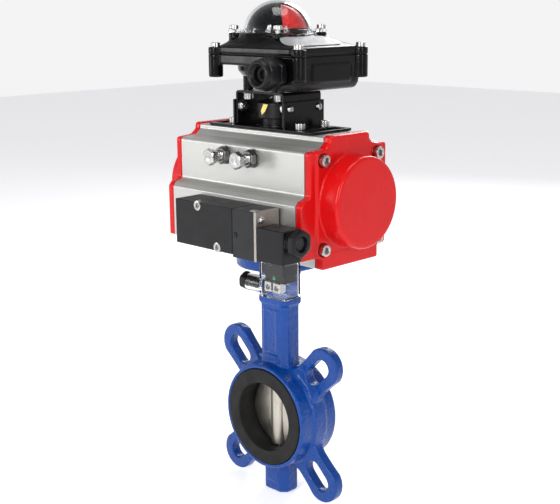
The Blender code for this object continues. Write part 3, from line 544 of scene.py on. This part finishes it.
def socket_screw(name, axis, at, seat, out, head_r, head_h, shank_r, tip, key, stands_for=(),
                 body="housing"):
    """Socket-head screw: its head stands on seat and grows towards out (1 or -1), its shank ends at tip."""
    top = seat + out * head_h
    side = -1 if tip < seat else 1
    steps = [(0, tip), (shank_r - 0.5, tip), (shank_r, tip - side * 0.5), (shank_r, seat),
             (head_r - 0.15, seat), (head_r, seat + out * 0.2), (head_r, top - out * 0.55),
             (head_r - 0.15, top - out * 0.2), (head_r - 0.55, top), (key + 0.55, top),
             (key, top - out * 0.35, "hex"), (key, top - out * head_h * 0.6, "hex"),
             (0, top - out * head_h * 0.72)]
    return piece(name, turned(steps, axis, at, 72), steel.m, body, stands_for)


def hex_screw(name, axis, at, seat, out, half_flats, head_h, shank_r, tip, mat, stands_for=(), plain=0.0):
    """Hexagon-head screw with a washer face, a cone-chamfered head and a threaded shank."""
    top = seat + out * head_h
    side = -1 if tip < seat else 1
    limit = half_flats * 1.125
    steps = [(0, tip), (shank_r - 0.7, tip)]
    steps += threads(shank_r, tip - side * 0.6, seat - out * plain, 1.25)
    steps += [(shank_r, seat - out * 0.01), (half_flats * 0.97, seat),
              (half_flats * 0.97, seat + out * 0.3), (half_flats, seat + out * 0.32, ("hex", limit)),
              (half_flats, top - out * 0.9, ("hex", limit * 1.02)),
              (half_flats, top - out * 0.35, ("hex", half_flats * 1.04)), (half_flats * 0.94, top),
              (half_flats * 0.5, top), (half_flats * 0.4, top - out * 0.2), (0, top - out * 0.2)]
    return piece(name, turned(steps, axis, at, 96), mat.m, "housing", stands_for, sharp=24)


def hex_nut(name, axis, at, seat, out, half_flats, height, bore, mat, stands_for=()):
    top = seat + out * height
    limit = half_flats * 1.04
    steps = [(bore, seat), (half_flats * 0.97, seat), (half_flats, seat + out * 0.7, ("hex", limit)),
             (half_flats, seat + out * 1.3, "hex"), (half_flats, top - out * 1.3, "hex"),
             (half_flats, top - out * 0.7, ("hex", limit)), (half_flats * 0.94, top), (bore + 0.5, top),
             (bore, top - out * 0.5)]
    return piece(name, turned(steps, axis, at, 96), mat.m, "housing", stands_for, sharp=24)


def washer(name, axis, at, lo, hi, r_in, r_out, mat=steel, slot="steel"):
    steps = [(r_in, lo), (r_out - 0.2, lo), (r_out, lo + 0.2), (r_out, hi - 0.2), (r_out - 0.2, hi),
             (r_in, hi)]
    return piece(name, turned(steps, axis, at, 72), mat.m)


def pan_screw(name, axis, at, seat, out, head_r, head_h, shank_r, tip, mat=steel):
    """Cross-recessed screw with a domed head."""
    steps = [(0, tip), (shank_r, tip), (shank_r, seat), (head_r - 0.1, seat)]
    steps += [(head_r * math.cos(math.radians(t)) ** 0.6, seat + out * head_h * math.sin(math.radians(t)))
              for t in (0, 15, 30, 45, 60, 75)] + [(0, seat + out * head_h)]
    top = seat + out * head_h
    u, v = 0.32, head_r * 0.62
    lo, hi = sorted((top + out, top - out * head_h * 0.55))
    flat = [prism(rect(-v, v, -u, u), lo, hi, axis, at), prism(rect(-u, u, -v, v), lo, hi, axis, at)]
    return piece(name, turned(steps, axis, at, 48), mat.m, cuts=flat)


# ---------------------------------------------------------------- actuator

def body_section():
    return rounded([
        (-FOOT_HALF, FOOT_LOW, 1.5), (FOOT_HALF, FOOT_LOW, 1.5), (FOOT_HALF, PAD_LOW, 2),
        (MID_HALF, PAD_LOW + 2, 3), (MID_HALF, MID_TOP, 3), (30, MID_TOP + 1.2, 3),
        (TOP_HALF, 256, 2), (TOP_HALF, BODY_TOP, 1.5), (-TOP_HALF, BODY_TOP, 1.5),
        (-TOP_HALF, 256, 2), (-30, MID_TOP + 1.2, 3), (-MID_HALF, MID_TOP, 3),
        (-MID_HALF, 213.5, 3.5), (-PAD_Y + 3, 211.5, 2.5), (-PAD_Y, PAD_TOP, 2),
        (-PAD_Y, PAD_LOW, 1.2), (-FOOT_HALF, PAD_LOW, 1.5)], k=10)


def actuator():
    column = turned([(0, 145), (16.3, 145), (16.3, 182), (24, 196), (24, 246), (14.5, 246),
                     (14.5, 270), (0, 270)], n=96)
    small = [rod(4.3, -60, -8, "Y", (x, 0, STOP_Z)) for x in (-STOP_X, STOP_X)]
    small += [rod(2.9, 148, 161, "Z", (x, y, 0)) for x, y in corners4(FLANGE_XY, FLANGE_XY)]
    small += [rod(2.8, 250.5, 270, "Z", (x, y, 0)) for x, y in corners4(FOOT_X, FOOT_Y)]
    small += [rod(2.9, -65, -47, "Y", (x, 0, z)) for x, z in SOLENOID_SCREWS]
    small += [rod(4.5, -65, -30, "Y", (x, 0, SPOOL_Z)) for x in (-PORT_X, PORT_X)]
    piece("actuator_extrusion", prism(body_section(), -74.7, 74.7, "X", ease=0.3), anodised.m,
          stands_for="actuator_body", sharp=22,
          cuts=[rod(41.5, -90, 90, "X", (0, 0, ACT_Z), 160), column, small])

    for side, word in ((-1, "left"), (1, "right")):
        def there(solid):
            return [(side * x, y, z) for x, y, z in solid[0]], solid[1]
        bulge = turned([(0, 75), (38.6, 75), (38.5, 84), (38.25, 99), (37.9, 100.4), (37.2, 101.3),
                        (36.0, 102), (0, 102)], "X", (0, 0, ACT_Z), 180)
        flange = rounded([
            (-PAD_Y, PAD_LOW, 1.5), (MID_HALF, PAD_LOW, 3), (MID_HALF, MID_TOP, 3), (30, MID_TOP + 1.2, 3),
            (TOP_HALF, 256, 2), (TOP_HALF, CAP_TOP, 3), (-TOP_HALF, CAP_TOP, 3), (-TOP_HALF, 256, 2),
            (-30, MID_TOP + 1.2, 3), (-MID_HALF, MID_TOP, 3), (-MID_HALF, 213.5, 3.5),
            (-PAD_Y + 3, 211.5, 2.5), (-PAD_Y, PAD_TOP, 2)], k=8)
        plate = rounded([
            (-40.1, PAD_LOW, 2), (40.1, PAD_LOW, 2), (40.1, MID_TOP - 1, 3), (26, MID_TOP + 2, 3),
            (TOP_HALF - 1, 256, 1), (TOP_HALF - 1, CAP_TOP - 0.6, 3), (1 - TOP_HALF, CAP_TOP - 0.6, 3),
            (1 - TOP_HALF, 256, 1), (-26, MID_TOP + 2, 3), (-40.1, MID_TOP - 1, 3)], k=8)
        foot = rect(-FOOT_HALF, FOOT_HALF, FOOT_LOW, PAD_LOW + 3, 1.5, 4)
        spots = [(y, ACT_Z + z) for y, z in corners4(33.4, 36.4)]
        holes = [turned([(0, 70), (3.3, 70), (3.3, 80.7), (5.7, 80.7), (5.7, 112), (0, 112)], "X",
                        (0, y, z), 48) for y, z in spots]
        piece(f"{word}_cap_casting", there(bulge), red.m, stands_for=f"{word}_end_cap",
              joins=[there(prism(flange, 75.0, 81.5, "X", ease=0.5)),
                     there(prism(plate, 80.0, 83.2, "X", ease=0.4)),
                     there(prism(foot, 75.2, 83.4, "X", ease=0.5))],
              cuts=[there(turned([(0, 60), (34, 60), (34, 96), (32, 98), (0, 98)], "X", (0, 0, ACT_Z), 96)),
                    [there(h) for h in holes]], cast=(0.7, 4))
        for i, (y, z) in enumerate(spots):
            socket_screw(f"{word}_cap_screw_{i + 1}", "X", (0, y, z), side * 81.0, side, 5.0, 6.0, 3.0,
                         side * 60.0, 2.5, f"{word}_cap_bolt_{i + 1}")
    for x, word in ((-STOP_X, "left"), (STOP_X, "right")):
        at = (x, 0, STOP_Z)
        hex_screw(f"{word}_stop_screw", "Y", at, -62.6, -1, 6.5, 5.4, 4.0, -11.3, steel,
                  f"{word}_stop_bolt")
        hex_nut(f"{word}_lock_nut", "Y", at, -48.7, -1, 6.5, 6.3, 4.3, dark_steel,
                f"{word}_stop_nut")
        washer(f"{word}_stop_washer", "Y", at, -48.5, -46.95, 4.3, 8.0, dark_steel)


# ---------------------------------------------------------------- bracket

def bracket():
    base = prism(rect(-63, 63, -25, 25, 2.5), 260.5, 262.5)
    walls = [block(x, x + 2, -24.4, 24.4, 261.5, 284.7, 0.3) for x in (29, -31)]
    side = [rod(2.8, -40, 40, "X", (0, y, SIDE_Z), 32) for y in (-SIDE_Y, SIDE_Y)]
    holes = [rod(2.8, 255, 268, "Z", (x, y, 0), 32) for x, y in corners4(FOOT_X, FOOT_Y)]
    windows = [prism(rect(s * 53 - 7, s * 53 + 7, -20, 20, 1.0), 255, 268) for s in (-1, 1)]
    piece("bracket_plate", base, black_steel.m, stands_for="bracket_base", joins=[walls],
          cuts=[side, holes + windows + [rod(19.5, 255, 268, n=96)]], bevel=0.3, segments=2)
    shape = rounded([(-28.7, 264, 0), (-26.7, 264, 0), (-26.7, 290.5, 1), (26.7, 290.5, 1),
                     (26.7, 264, 0), (28.7, 264, 0), (28.7, 292.5, 3), (-28.7, 292.5, 3)], 8)
    shelf = [rod(9, 285, 300)] + [rod(3.2, 285, 300, at=(x, y, 0)) for x, y in corners4(SHELF_X, SHELF_Y)]
    piece("bracket_bridge", prism(shape, -23, 23, "Y"), black_steel.m,
          stands_for="bracket_top", cuts=[side, shelf], bevel=0.3, segments=2)
    for i, (x, y) in enumerate(corners4(FOOT_X, FOOT_Y)):
        socket_screw(f"bracket_bolt_{i + 1}", "Z", (x, y, 0), 262.8, 1, 4.3, 5.0, 2.5, 251.0, 2.0,
                     f"bracket_screw_{i + 1}")
    for i, (s, y) in enumerate(corners4(1, SIDE_Y)):
        pan_screw(f"side_screw_{i + 1}", "X", (0, y, SIDE_Z), s * 31.05, s, 3.3, 2.2, 2.4, s * 21.5)
        hex_nut(f"side_nut_{i + 1}", "X", (0, y, SIDE_Z), s * 26.0, -s, 4.0, 3.2, 2.45, steel)
        washer(f"side_washer_{i + 1}", "X", (0, y, SIDE_Z), *sorted((s * 26.05, s * 26.65)), 2.5, 5.0)
    for i, (x, y) in enumerate(corners4(SHELF_X, SHELF_Y)):
        socket_screw(f"shelf_screw_{i + 1}", "Z", (x, y, 0), 289.8, -1, 4.25, 5.0, 2.5, 299.0, 2.0)
        washer(f"shelf_washer_{i + 1}", "Z", (x, y, 0), 289.82, 290.45, 2.6, 5.0)
    puck = [(8.3, 262.9), (14.6, 262.9), (15, 263.3), (15, 268.8), (18.4, 269.2), (19, 269.9), (19, 281.6),
            (18.8, 282.3), (18.2, 282.8), (17.5, 283), (8.3, 283)]
    piece("indicator_puck", turned(puck, n=96), nylon.m, "turning", "position_indicator")
    # the pointer, wrapped round the puck: (place along the rim, lower edge, upper edge)
    mark = [(-3.6, -1.6, -1.0), (-2.8, -4.8, 0.4), (-0.5, -3.0, 4.6), (1.2, -1.6, 4.5), (3.0, 2.2, 4.4),
            (3.8, 3.8, 4.3)]
    slices = []
    for (u, lo, hi), (u1, lo1, hi1) in zip(mark, mark[1:]):
        slices += [(u + (u1 - u) * t, lo + (lo1 - lo) * t, hi + (hi1 - hi) * t) for t in (0, 0.5)]
    rings = []
    for u, lo, hi in slices + [mark[-1]]:
        a = u / 19 - math.radians(85)
        rings.append([(r * math.cos(a), r * math.sin(a), 277.2 + z) for r, z in
                      ((18.9, lo), (19.12, lo), (19.12, hi), (18.9, hi))])
    piece("pointer", skin(rings), yellow.m, "turning")


# ---------------------------------------------------------------- switch box

def box_outline(d=0.0, k=8):
    return rect(BOX_X - BOX_HX + d, BOX_X + BOX_HX - d, -BOX_HY + d, BOX_HY - d, max(BOX_R - d, 3),
                k)


def towards(outline, r, t):
    """The outline moved by t, from 0 to 1, towards a circle of radius r round the stem."""
    out = []
    for x, y in outline:
        a = math.atan2(y / BOX_HY, (x - BOX_X) / BOX_HX)
        out.append((x + (r * math.cos(a) - x) * t, y + (r * math.sin(a) - y) * t))
    return out


def finer(outline, parts=5):
    """The outline with its long sides divided, so that a loft over it stays smooth."""
    out = []
    for i, (x, y) in enumerate(outline):
        x1, y1 = outline[(i + 1) % len(outline)]
        count = parts if math.hypot(x1 - x, y1 - y) > 12 else 1
        out += [(x + (x1 - x) * j / count, y + (y1 - y) * j / count) for j in range(count)]
    return out


def lid_corners():
    return [(BOX_X + x, y) for x, y in corners4(LID_SX, LID_SY)]


def lid_edge(d, s):
    """Point on the lid's outline inset by d: s is below 0 on the front, 0 to 1 round the front right
    corner and above 1 on the right side, where a unit of s is 12 mm."""
    x, y = BOX_X + BOX_HX - BOX_R, BOX_R - BOX_HY
    if s < 0:
        return x + 12 * s, -BOX_HY + d
    if s > 1:
        return BOX_X + BOX_HX - d, 12 * (s - 1) + y
    a = math.pi / 2 * (s - 1)
    return x + (BOX_R - d) * math.cos(a), y + (BOX_R - d) * math.sin(a)


def lid_point(s, level):
    """Point on the lid's slope: level 0 at its lower edge, 3 at the ring under the dome."""
    k = min(int(level), 2)
    ends = []
    for z, d, blend in SLOPE[k:k + 2]:
        x, y = towards([lid_edge(d, s)], RING_R, blend)[0]
        ends.append(Vector((x, y, z)))
    return ends[0].lerp(ends[1], level - k)


def label():
    """Blank sticker wrapped round the front right corner of the lid's slope."""
    high, wide = 12, 40
    front, behind = [], []
    for i in range(high + 1):
        level = 0.42 + 1.66 * i / high
        cut = 0.9 * (1 - math.sqrt(max(0.0, 1 - (abs(i - high / 2) / (high / 2)) ** 2)))
        for j in range(wide + 1):
            s = cut - 0.25 + (5.0 - cut + 0.25) * j / wide
            p, q, r = lid_point(s, level), lid_point(s + 0.01, level), lid_point(s, level + 0.01)
            out = (q - p).cross(r - p).normalized()
            front.append(tuple(p + out * 0.55))
            behind.append(tuple(p + out * 0.3))
    n = wide + 1
    half = len(front)
    faces = []
    for i in range(high):
        for j in range(wide):
            a = i * n + j
            faces.append((a, a + 1, a + n + 1, a + n))
            faces.append((half + a, half + a + n, half + a + n + 1, half + a + 1))
    ring = list(range(n)) + [i * n + wide for i in range(1, high + 1)] \
        + list(range(high * n + wide - 1, high * n - 1, -1)) + [i * n for i in range(high - 1, 0, -1)]
    for k, a in enumerate(ring):
        b = ring[(k + 1) % len(ring)]
        faces.append((a, b, half + b, half + a))
    piece("blank_label", (front + behind, faces), label_mat.m)


def switch_box():
    full = box_outline()
    rim = loft([(314.7, box_outline(0.8)), (315.5, full), (323.2, full)])
    deep = rect(24, 61.2, -38.8, 38.8, 7, 6)
    right = loft([(295, inset(deep, 6)), (295.6, inset(deep, 4)), (297, inset(deep, 2.2)),
                  (300.5, inset(deep, 0.4)), (304, deep), (317, deep)])
    bowl = turned([(0, 304.5), (27, 304.5), (29.4, 304.9), (31, 306), (34, 309.5), (35, 317),
                   (0, 317)], n=96)
    posts = [turned([(0, 304), (5.6, 304), (6.2, 304.8), (6.2, 323.2), (0, 323.2)], at=(x, y, 0), n=64)
             for x, y in lid_corners()]
    feet = [rod(4.5, 292.8, 307, at=(x, y, 0)) for x, y in corners4(SHELF_X, SHELF_Y)]
    panel = block(50, 62.2, -25, 25, 301.0, 318.0, 2.5)
    hollow = prism(box_outline(4.5), 318, 330)
    deep_in = prism(rect(28, 57, -34.5, 34.5), 299, 320)
    taps = [rod(2.2, 309, 330, at=(x, y, 0)) for x, y in lid_corners()]
    piece("switch_case", rim, black_cast.m, stands_for="switch_housing",
          joins=[right, bowl, posts, feet, rod(9, 298, 307), panel],
          cuts=[hollow, deep_in, rod(29.5, 309, 320, n=96),
                [rod(8.3, -50, -30, "Y", GLAND_AT), rod(5.3, 285, 312)] + taps], cast=(0.6, 4))

    edge, top, inside = (finer(box_outline(d)) for d in (0, 2, 5))
    slope = [(z, towards(finer(box_outline(d)), RING_R, blend)) for z, d, blend in SLOPE]
    shell = loft([(324.4, edge), (329.2, edge)] + slope + [(341.0, towards(top, RING_R - 0.7, 1.0))])
    inner = loft([(320, inside), (327.5, inside), (332.5, towards(inside, 28, 0.6)),
                  (336.5, towards(inside, 27, 1.0))])
    posts = [turned([(0, 323.3), (6.2, 323.3), (6.2, 328.6), (5.7, 329.2), (0, 329.2)], at=(x, y, 0), n=64)
             for x, y in lid_corners()]
    ears = [rod(4.6, 331.2, 341.0, at=(x, y, 0), ease=0.5) for x, y in corners4(DOME_S, DOME_S)]
    holes = [rod(2.4, 320, 335, at=(x, y, 0)) for x, y in lid_corners()]
    taps = [rod(1.6, 335, 345, at=(x, y, 0)) for x, y in corners4(DOME_S, DOME_S)]
    piece("switch_cover", shell, black_cast.m, stands_for="switch_lid", joins=[posts, ears],
          cuts=[inner, holes + taps + [rod(5.4, 330, 345)]], cast=(0.6, 3))
    for i, (x, y) in enumerate(lid_corners()):
        socket_screw(f"lid_screw_{i + 1}", "Z", (x, y, 0), 329.25, 1, 4.1, 3.8, 2.1, 310.0, 1.8)
    for i, (x, y) in enumerate(corners4(DOME_S, DOME_S)):
        socket_screw(f"dome_screw_{i + 1}", "Z", (x, y, 0), 344.4, 1, 3.9, 3.0, 1.5, 335.5, 2.0)
        washer(f"dome_washer_{i + 1}", "Z", (x, y, 0), 343.85, 344.35, 1.6, 4.7)

    label()

    breadth = 1.047
    inner = broad(arc(26.6, DOME_Z, 90, 9, 26), breadth)
    outer = broad(arc(DOME_R, DOME_Z, 8.5, 90, 30), breadth)
    foot = [(27.5, 341.3), (32.7, 341.3), (33, 341.6), (33, 343.2), (32.8, 343.6), (32.4, 343.8),
            (30.3, 343.8)]
    ears = [rod(5.0, 341.3, 343.8, at=(x, y, 0), ease=0.3) for x, y in corners4(DOME_S, DOME_S)]
    taps = [rod(1.8, 335, 350, at=(x, y, 0)) for x, y in corners4(DOME_S, DOME_S)]
    piece("dome", turned(inner + foot + outer, n=128), clear.m, stands_for="indicator_dome",
          joins=[ears], cuts=[taps])
    wedge = [(2.5, 0), (40, -32), (40, 32)]
    hood = broad(arc(25.2, DOME_Z, 90, 4, 26) + arc(26.1, DOME_Z, 4, 90, 26), 1.035)
    piece("dome_hood", turned(hood, n=144), shade_black.m, stands_for="indicator_shade",
          cuts=[[prism(wedge, 344.5, 380), prism(spun(wedge, math.pi), 344.5, 380)]])
    hub = [(0, 357), (3.3, 357), (3.3, 347), (6, 347), (6, 359)]
    bowl = broad(arc(23.3, DOME_Z, 70, 9, 20) + arc(24.7, DOME_Z, 9, 90, 26), 1.03)
    piece("colour_rotor", turned(hub + bowl, n=128), rotor_paint().m, "turning",
          "indicator_rotor")


def gland():
    body = [(6.4, -31), (8, -31), (8, -39.7), (11.6, -39.8), (12, -40.4, ("hex", 12.6)), (12, -41.2, "hex"),
            (12, -45.2, "hex"), (12, -46.0, ("hex", 12.6)), (11.6, -46.5), (8.4, -46.5), (8.4, -56),
            (6.4, -56)]
    cap = [(8.7, -46.9), (11.6, -46.95), (12, -47.5, ("hex", 12.8)), (12, -48.2, "hex"), (12, -53.0, "hex"),
           (12, -55.2, ("hex", 13.1)), (12, -57.0, ("hex", 12.4)), (11.9, -57.3), (11.8, -59.6),
           (11.5, -61.2), (10.9, -62.2), (10.1, -62.6), (9.3, -62.5), (8.6, -62.0), (8.2, -61.0),
           (6.7, -59.2), (6.5, -57), (8.7, -56.8)]
    seal = [(0, -52.0), (3.4, -52.1), (3.6, -55.6), (4.2, -56.2), (5.8, -56.2), (6.3, -55.6), (6.3, -48),
            (0, -48)]
    piece("gland_body", turned(body, "Y", GLAND_AT, 96), nylon.m,
          stands_for="cable_gland", sharp=24)
    piece("gland_cap", turned(cap, "Y", GLAND_AT, 96), nylon.m,
          stands_for="gland_nut", sharp=24)
    piece("gland_seal", turned(seal, "Y", GLAND_AT, 64), rubber.m)


# ---------------------------------------------------------------- solenoid valve

def solenoid():
    pockets = [turned([(0, -90), (4.6, -90), (4.6, -82), (2.8, -82), (2.8, -50), (0, -50)], "Y",
                      (x, 0, z), 64) for x, z in SOLENOID_SCREWS]
    ports = [rod(4.0, -75.5, -50, "Y", (x, 0, SPOOL_Z)) for x in (-PORT_X, PORT_X)]
    ports += [rod(r, 160, 181.4, "Z", (x, -72, 0)) for x, r in ((-27, 4.8), (-8, 5.8), (24, 4.8))]
    piece("solenoid_case", prism(rect(-38.5, 31.2, SOL_FRONT, SOL_BACK, 0.8, 3), 167, 205, ease=0.7),
          sol_black.m, stands_for="solenoid_body",
          cuts=[rod(5.3, -34, 40, "X", (0, SPOOL_Y, SPOOL_Z)), pockets[0], pockets[1]] + ports)
    for i, (x, z) in enumerate(SOLENOID_SCREWS):
        socket_screw(f"solenoid_bolt_{i + 1}", "Y", (x, 0, z), -82.3, -1, 4.3, 3.7, 2.5, -49.5, 2.0,
                     f"solenoid_screw_{i + 1}")
    stem = rod(4.5, 50, 97, "X", (0, TUBE_Y, TUBE_Z))
    piece("pilot_case", prism(rect(31.5, 56.1, SOL_FRONT, SOL_BACK, 0.8, 3), 165, 205, ease=0.7),
          sol_grey.m, stands_for="pilot_block", joins=[stem],
          cuts=[[rod(2.3, -90, -76.5, "Y", (35.5, 0, 184))]])
    piece("coil_bracket", block(56.4, 59.2, -86, -60, 165, 205.3, 0.4), brushed.m,
          stands_for="coil_plate", cuts=[rod(4.8, 50, 65, "X", (0, TUBE_Y, TUBE_Z))], bevel=0.15)
    pan_screw("plate_screw", "X", (0, -80.3, 198.6), 59.75, 1, 2.5, 1.9, 1.2, 50.0)
    washer("plate_washer", "X", (0, -80.3, 198.6), 59.25, 59.72, 1.3, 3.4)
    piece("plate_tab", block(51.5, 57.2, -85.0, -80.0, 205.05, 206.0, 0.25), brushed.m)
    piece("coil", prism(rect(59.5, 88.9, -86.2, -65, 1.6, 4), 166.3, 193.6, ease=1.2), nylon.m,
          stands_for="solenoid_coil", cuts=[rod(4.8, 50, 100, "X", (0, TUBE_Y, TUBE_Z))])
    nut = [(4.8, 89.2), (9.5, 89.2), (9.8, 89.4), (9.8, 90.2), (9.5, 90.4), (8.4, 90.5), (8.4, 91.0),
           (9.4, 91.1), (9.4, 91.8), (8.4, 91.9), (8.4, 92.4), (9.4, 92.5), (9.4, 93.1), (8.4, 93.2),
           (8.4, 93.8), (9.6, 93.9), (10.4, 94.2, ("hex", 11.4)), (10.4, 94.8, "hex"),
           (10.4, 97.6, "hex"), (10.4, 98.5, ("hex", 11.3)), (9.6, 99.2), (9.1, 99.4), (7.0, 99.4),
           (6.5, 99.0), (5.9, 96.2), (4.8, 96.0)]
    piece("coil_cap_nut", turned(nut, "X", (0, TUBE_Y, TUBE_Z), 144), nylon.m,
          stands_for="coil_nut", sharp=30)
    at = (0, PLUG_Y, PLUG_Z)
    piece("plug_shell", prism(rect(60, 88, -84.5, -65, 1.5, 5), 137.5, 166.0, ease=1.0), clear.m,
          stands_for="connector_housing", joins=[rod(7.2, 41, 61, "X", at)],
          cuts=[prism(rect(61.5, 86.5, -83, -66.5, 1.0), 139, 170), rod(4.7, 30, 64, "X", at)])
    piece("plug_core", block(62, 86, -82.5, -67, 156.5, 165.7, 0.5), nylon.m,
          stands_for="connector_block", joins=[block(64.5, 85.5, -81, -68, 150.5, 158, 0.5)], bevel=0.25)
    for i, x in enumerate((68.5, 81.5)):
        pan_screw(f"terminal_screw_{i + 1}", "Z", (x, -74.5, 0), 150.4, -1, 2.2, 1.6, 1.0, 153.0)
    for i, x in enumerate((64.2, 73.6)):
        piece(f"terminal_clamp_{i + 1}", block(x, x + 7.2, -81.6, -75.4, 142.4, 150.1, 0.4), steel.m,
              cuts=[rod(2.2, -84, -74, "Y", (x + 3.6, 0, 145.8), 32)], bevel=0.3)
    piece("signal_lamp", rod(1.4, -82.2, -79.0, "Y", (75, 0, 154), 32, 0.3), green.m)
    nut = [(2.6, 33.3), (5.2, 33.3), (5.7, 33.6), (6.8, 34.6, ("hex", 7.2)), (6.8, 35.4, "hex"),
           (6.8, 40.0, "hex"), (6.6, 40.6, ("hex", 7.1)), (4.4, 40.7), (4.4, 50), (2.6, 50)]
    piece("plug_nut", turned(nut, "X", at, 96), nylon.m, stands_for="connector_nut",
          sharp=24)


valve()
actuator()
bracket()
switch_box()
gland()
solenoid()


# ---------------------------------------------------------------- floor, light and camera

def area(name, place_at, target, size, power, colour=(1, 1, 1)):
    data = bpy.data.lights.new(name, "AREA")
    data.shape, data.size, data.size_y = "RECTANGLE", size[0], size[1]
    data.energy, data.color = power, colour
    obj = linked(name, data)
    obj.location = place_at
    obj.rotation_euler = (Vector(target) - Vector(place_at)).to_track_quat("-Z", "Y").to_euler()
    return obj


FLOOR_HALF = 4000
TO_CAMERA = (0.703, -0.711, 0)       # the sky is dimmer on the camera's side, so gloss black stays dark
low = CAD_BOX[0][2]
corners = [(x, y, low / MM) for x, y in corners4(FLOOR_HALF, FLOOR_HALF)]
floor = linked("floor", solid_mesh("floor", [(corners, [(0, 1, 2, 3)])]))
floor_paint = Paint("floor_white", (0.86, 0.86, 0.87), 0.0, 0.6, Emission_Strength=0.47).tint(3, 0.01)
floor_paint.b.inputs["Emission Color"].default_value = (0.98, 0.98, 1.0, 1)
floor.data.materials.append(floor_paint.m)

world = bpy.data.worlds.new("studio")
bpy.context.scene.world = world
world.use_nodes = True
sky = world.node_tree
heading = sky.nodes.new("ShaderNodeTexCoord")
split = sky.nodes.new("ShaderNodeSeparateXYZ")
sky.links.new(heading.outputs["Generated"], split.inputs["Vector"])
height = sky.nodes.new("ShaderNodeMapRange")
height.inputs["From Min"].default_value, height.inputs["From Max"].default_value = -1.0, 1.0
sky.links.new(split.outputs["Z"], height.inputs["Value"])
fade = sky.nodes.new("ShaderNodeValToRGB")
fade.color_ramp.elements[0].position, fade.color_ramp.elements[0].color = 0.50, (0.97, 0.97, 0.98, 1)
fade.color_ramp.elements[1].position, fade.color_ramp.elements[1].color = 0.78, (0.40, 0.40, 0.41, 1)
sky.links.new(height.outputs["Result"], fade.inputs["Fac"])
facing = sky.nodes.new("ShaderNodeVectorMath")
facing.operation = "DOT_PRODUCT"
facing.inputs[1].default_value = TO_CAMERA
sky.links.new(heading.outputs["Generated"], facing.inputs[0])
dim = sky.nodes.new("ShaderNodeMapRange")
dim.inputs["From Min"].default_value, dim.inputs["From Max"].default_value = -0.3, 0.6
dim.inputs["To Min"].default_value, dim.inputs["To Max"].default_value = 1.0, 0.45
sky.links.new(facing.outputs["Value"], dim.inputs["Value"])
shaded = sky.nodes.new("ShaderNodeVectorMath")
shaded.operation = "SCALE"
sky.links.new(fade.outputs["Color"], shaded.inputs[0])
sky.links.new(dim.outputs["Result"], shaded.inputs["Scale"])
sky.links.new(shaded.outputs["Vector"], sky.nodes["Background"].inputs["Color"])
sky.nodes["Background"].inputs["Strength"].default_value = 0.93
area("key", (0.35, -1.45, 0.75), (0.0, 0, 0.17), (0.35, 0.9), 15)
area("side", (1.5, -0.45, 0.7), (0.0, 0, 0.17), (0.4, 0.9), 9)
area("left", (-1.3, -1.3, 0.45), (0.0, 0, 0.2), (0.35, 0.6), 4.5)
area("top", (0.1, 0.1, 1.6), (0, 0, 0.2), (0.8, 0.8), 7)
area("rim", (-0.6, 1.3, 0.9), (0, 0, 0.2), (0.5, 0.9), 9)

AZ, DOWN, ROLL = math.radians(44.677), math.radians(13.136), math.radians(-0.463)
SENSOR, LENS = 36.0, 69.16114
AIM_RIGHT, AIM_UP, DISTANCE = 0.455, 149.47, 956.48
back = Vector((math.sin(AZ) * math.cos(DOWN), -math.cos(AZ) * math.cos(DOWN), math.sin(DOWN)))
right = Vector((math.cos(AZ), math.sin(AZ), 0))
up = back.cross(right)
across = right * math.cos(ROLL) + up * math.sin(ROLL)
upward = up * math.cos(ROLL) - right * math.sin(ROLL)
cam = bpy.data.cameras.new("camera")
cam.sensor_width, cam.lens = SENSOR, LENS
cam.clip_start, cam.clip_end = 0.05, 50
eye = linked("camera", cam)
spot = right * AIM_RIGHT * MM + Vector((0, 0, AIM_UP * MM)) + back * DISTANCE * MM
eye.matrix_world = Matrix([[across[i], upward[i], back[i], spot[i]] for i in range(3)] + [[0, 0, 0, 1]])
bpy.context.scene.camera = eye
bpy.context.scene.view_settings.view_transform = "Standard"
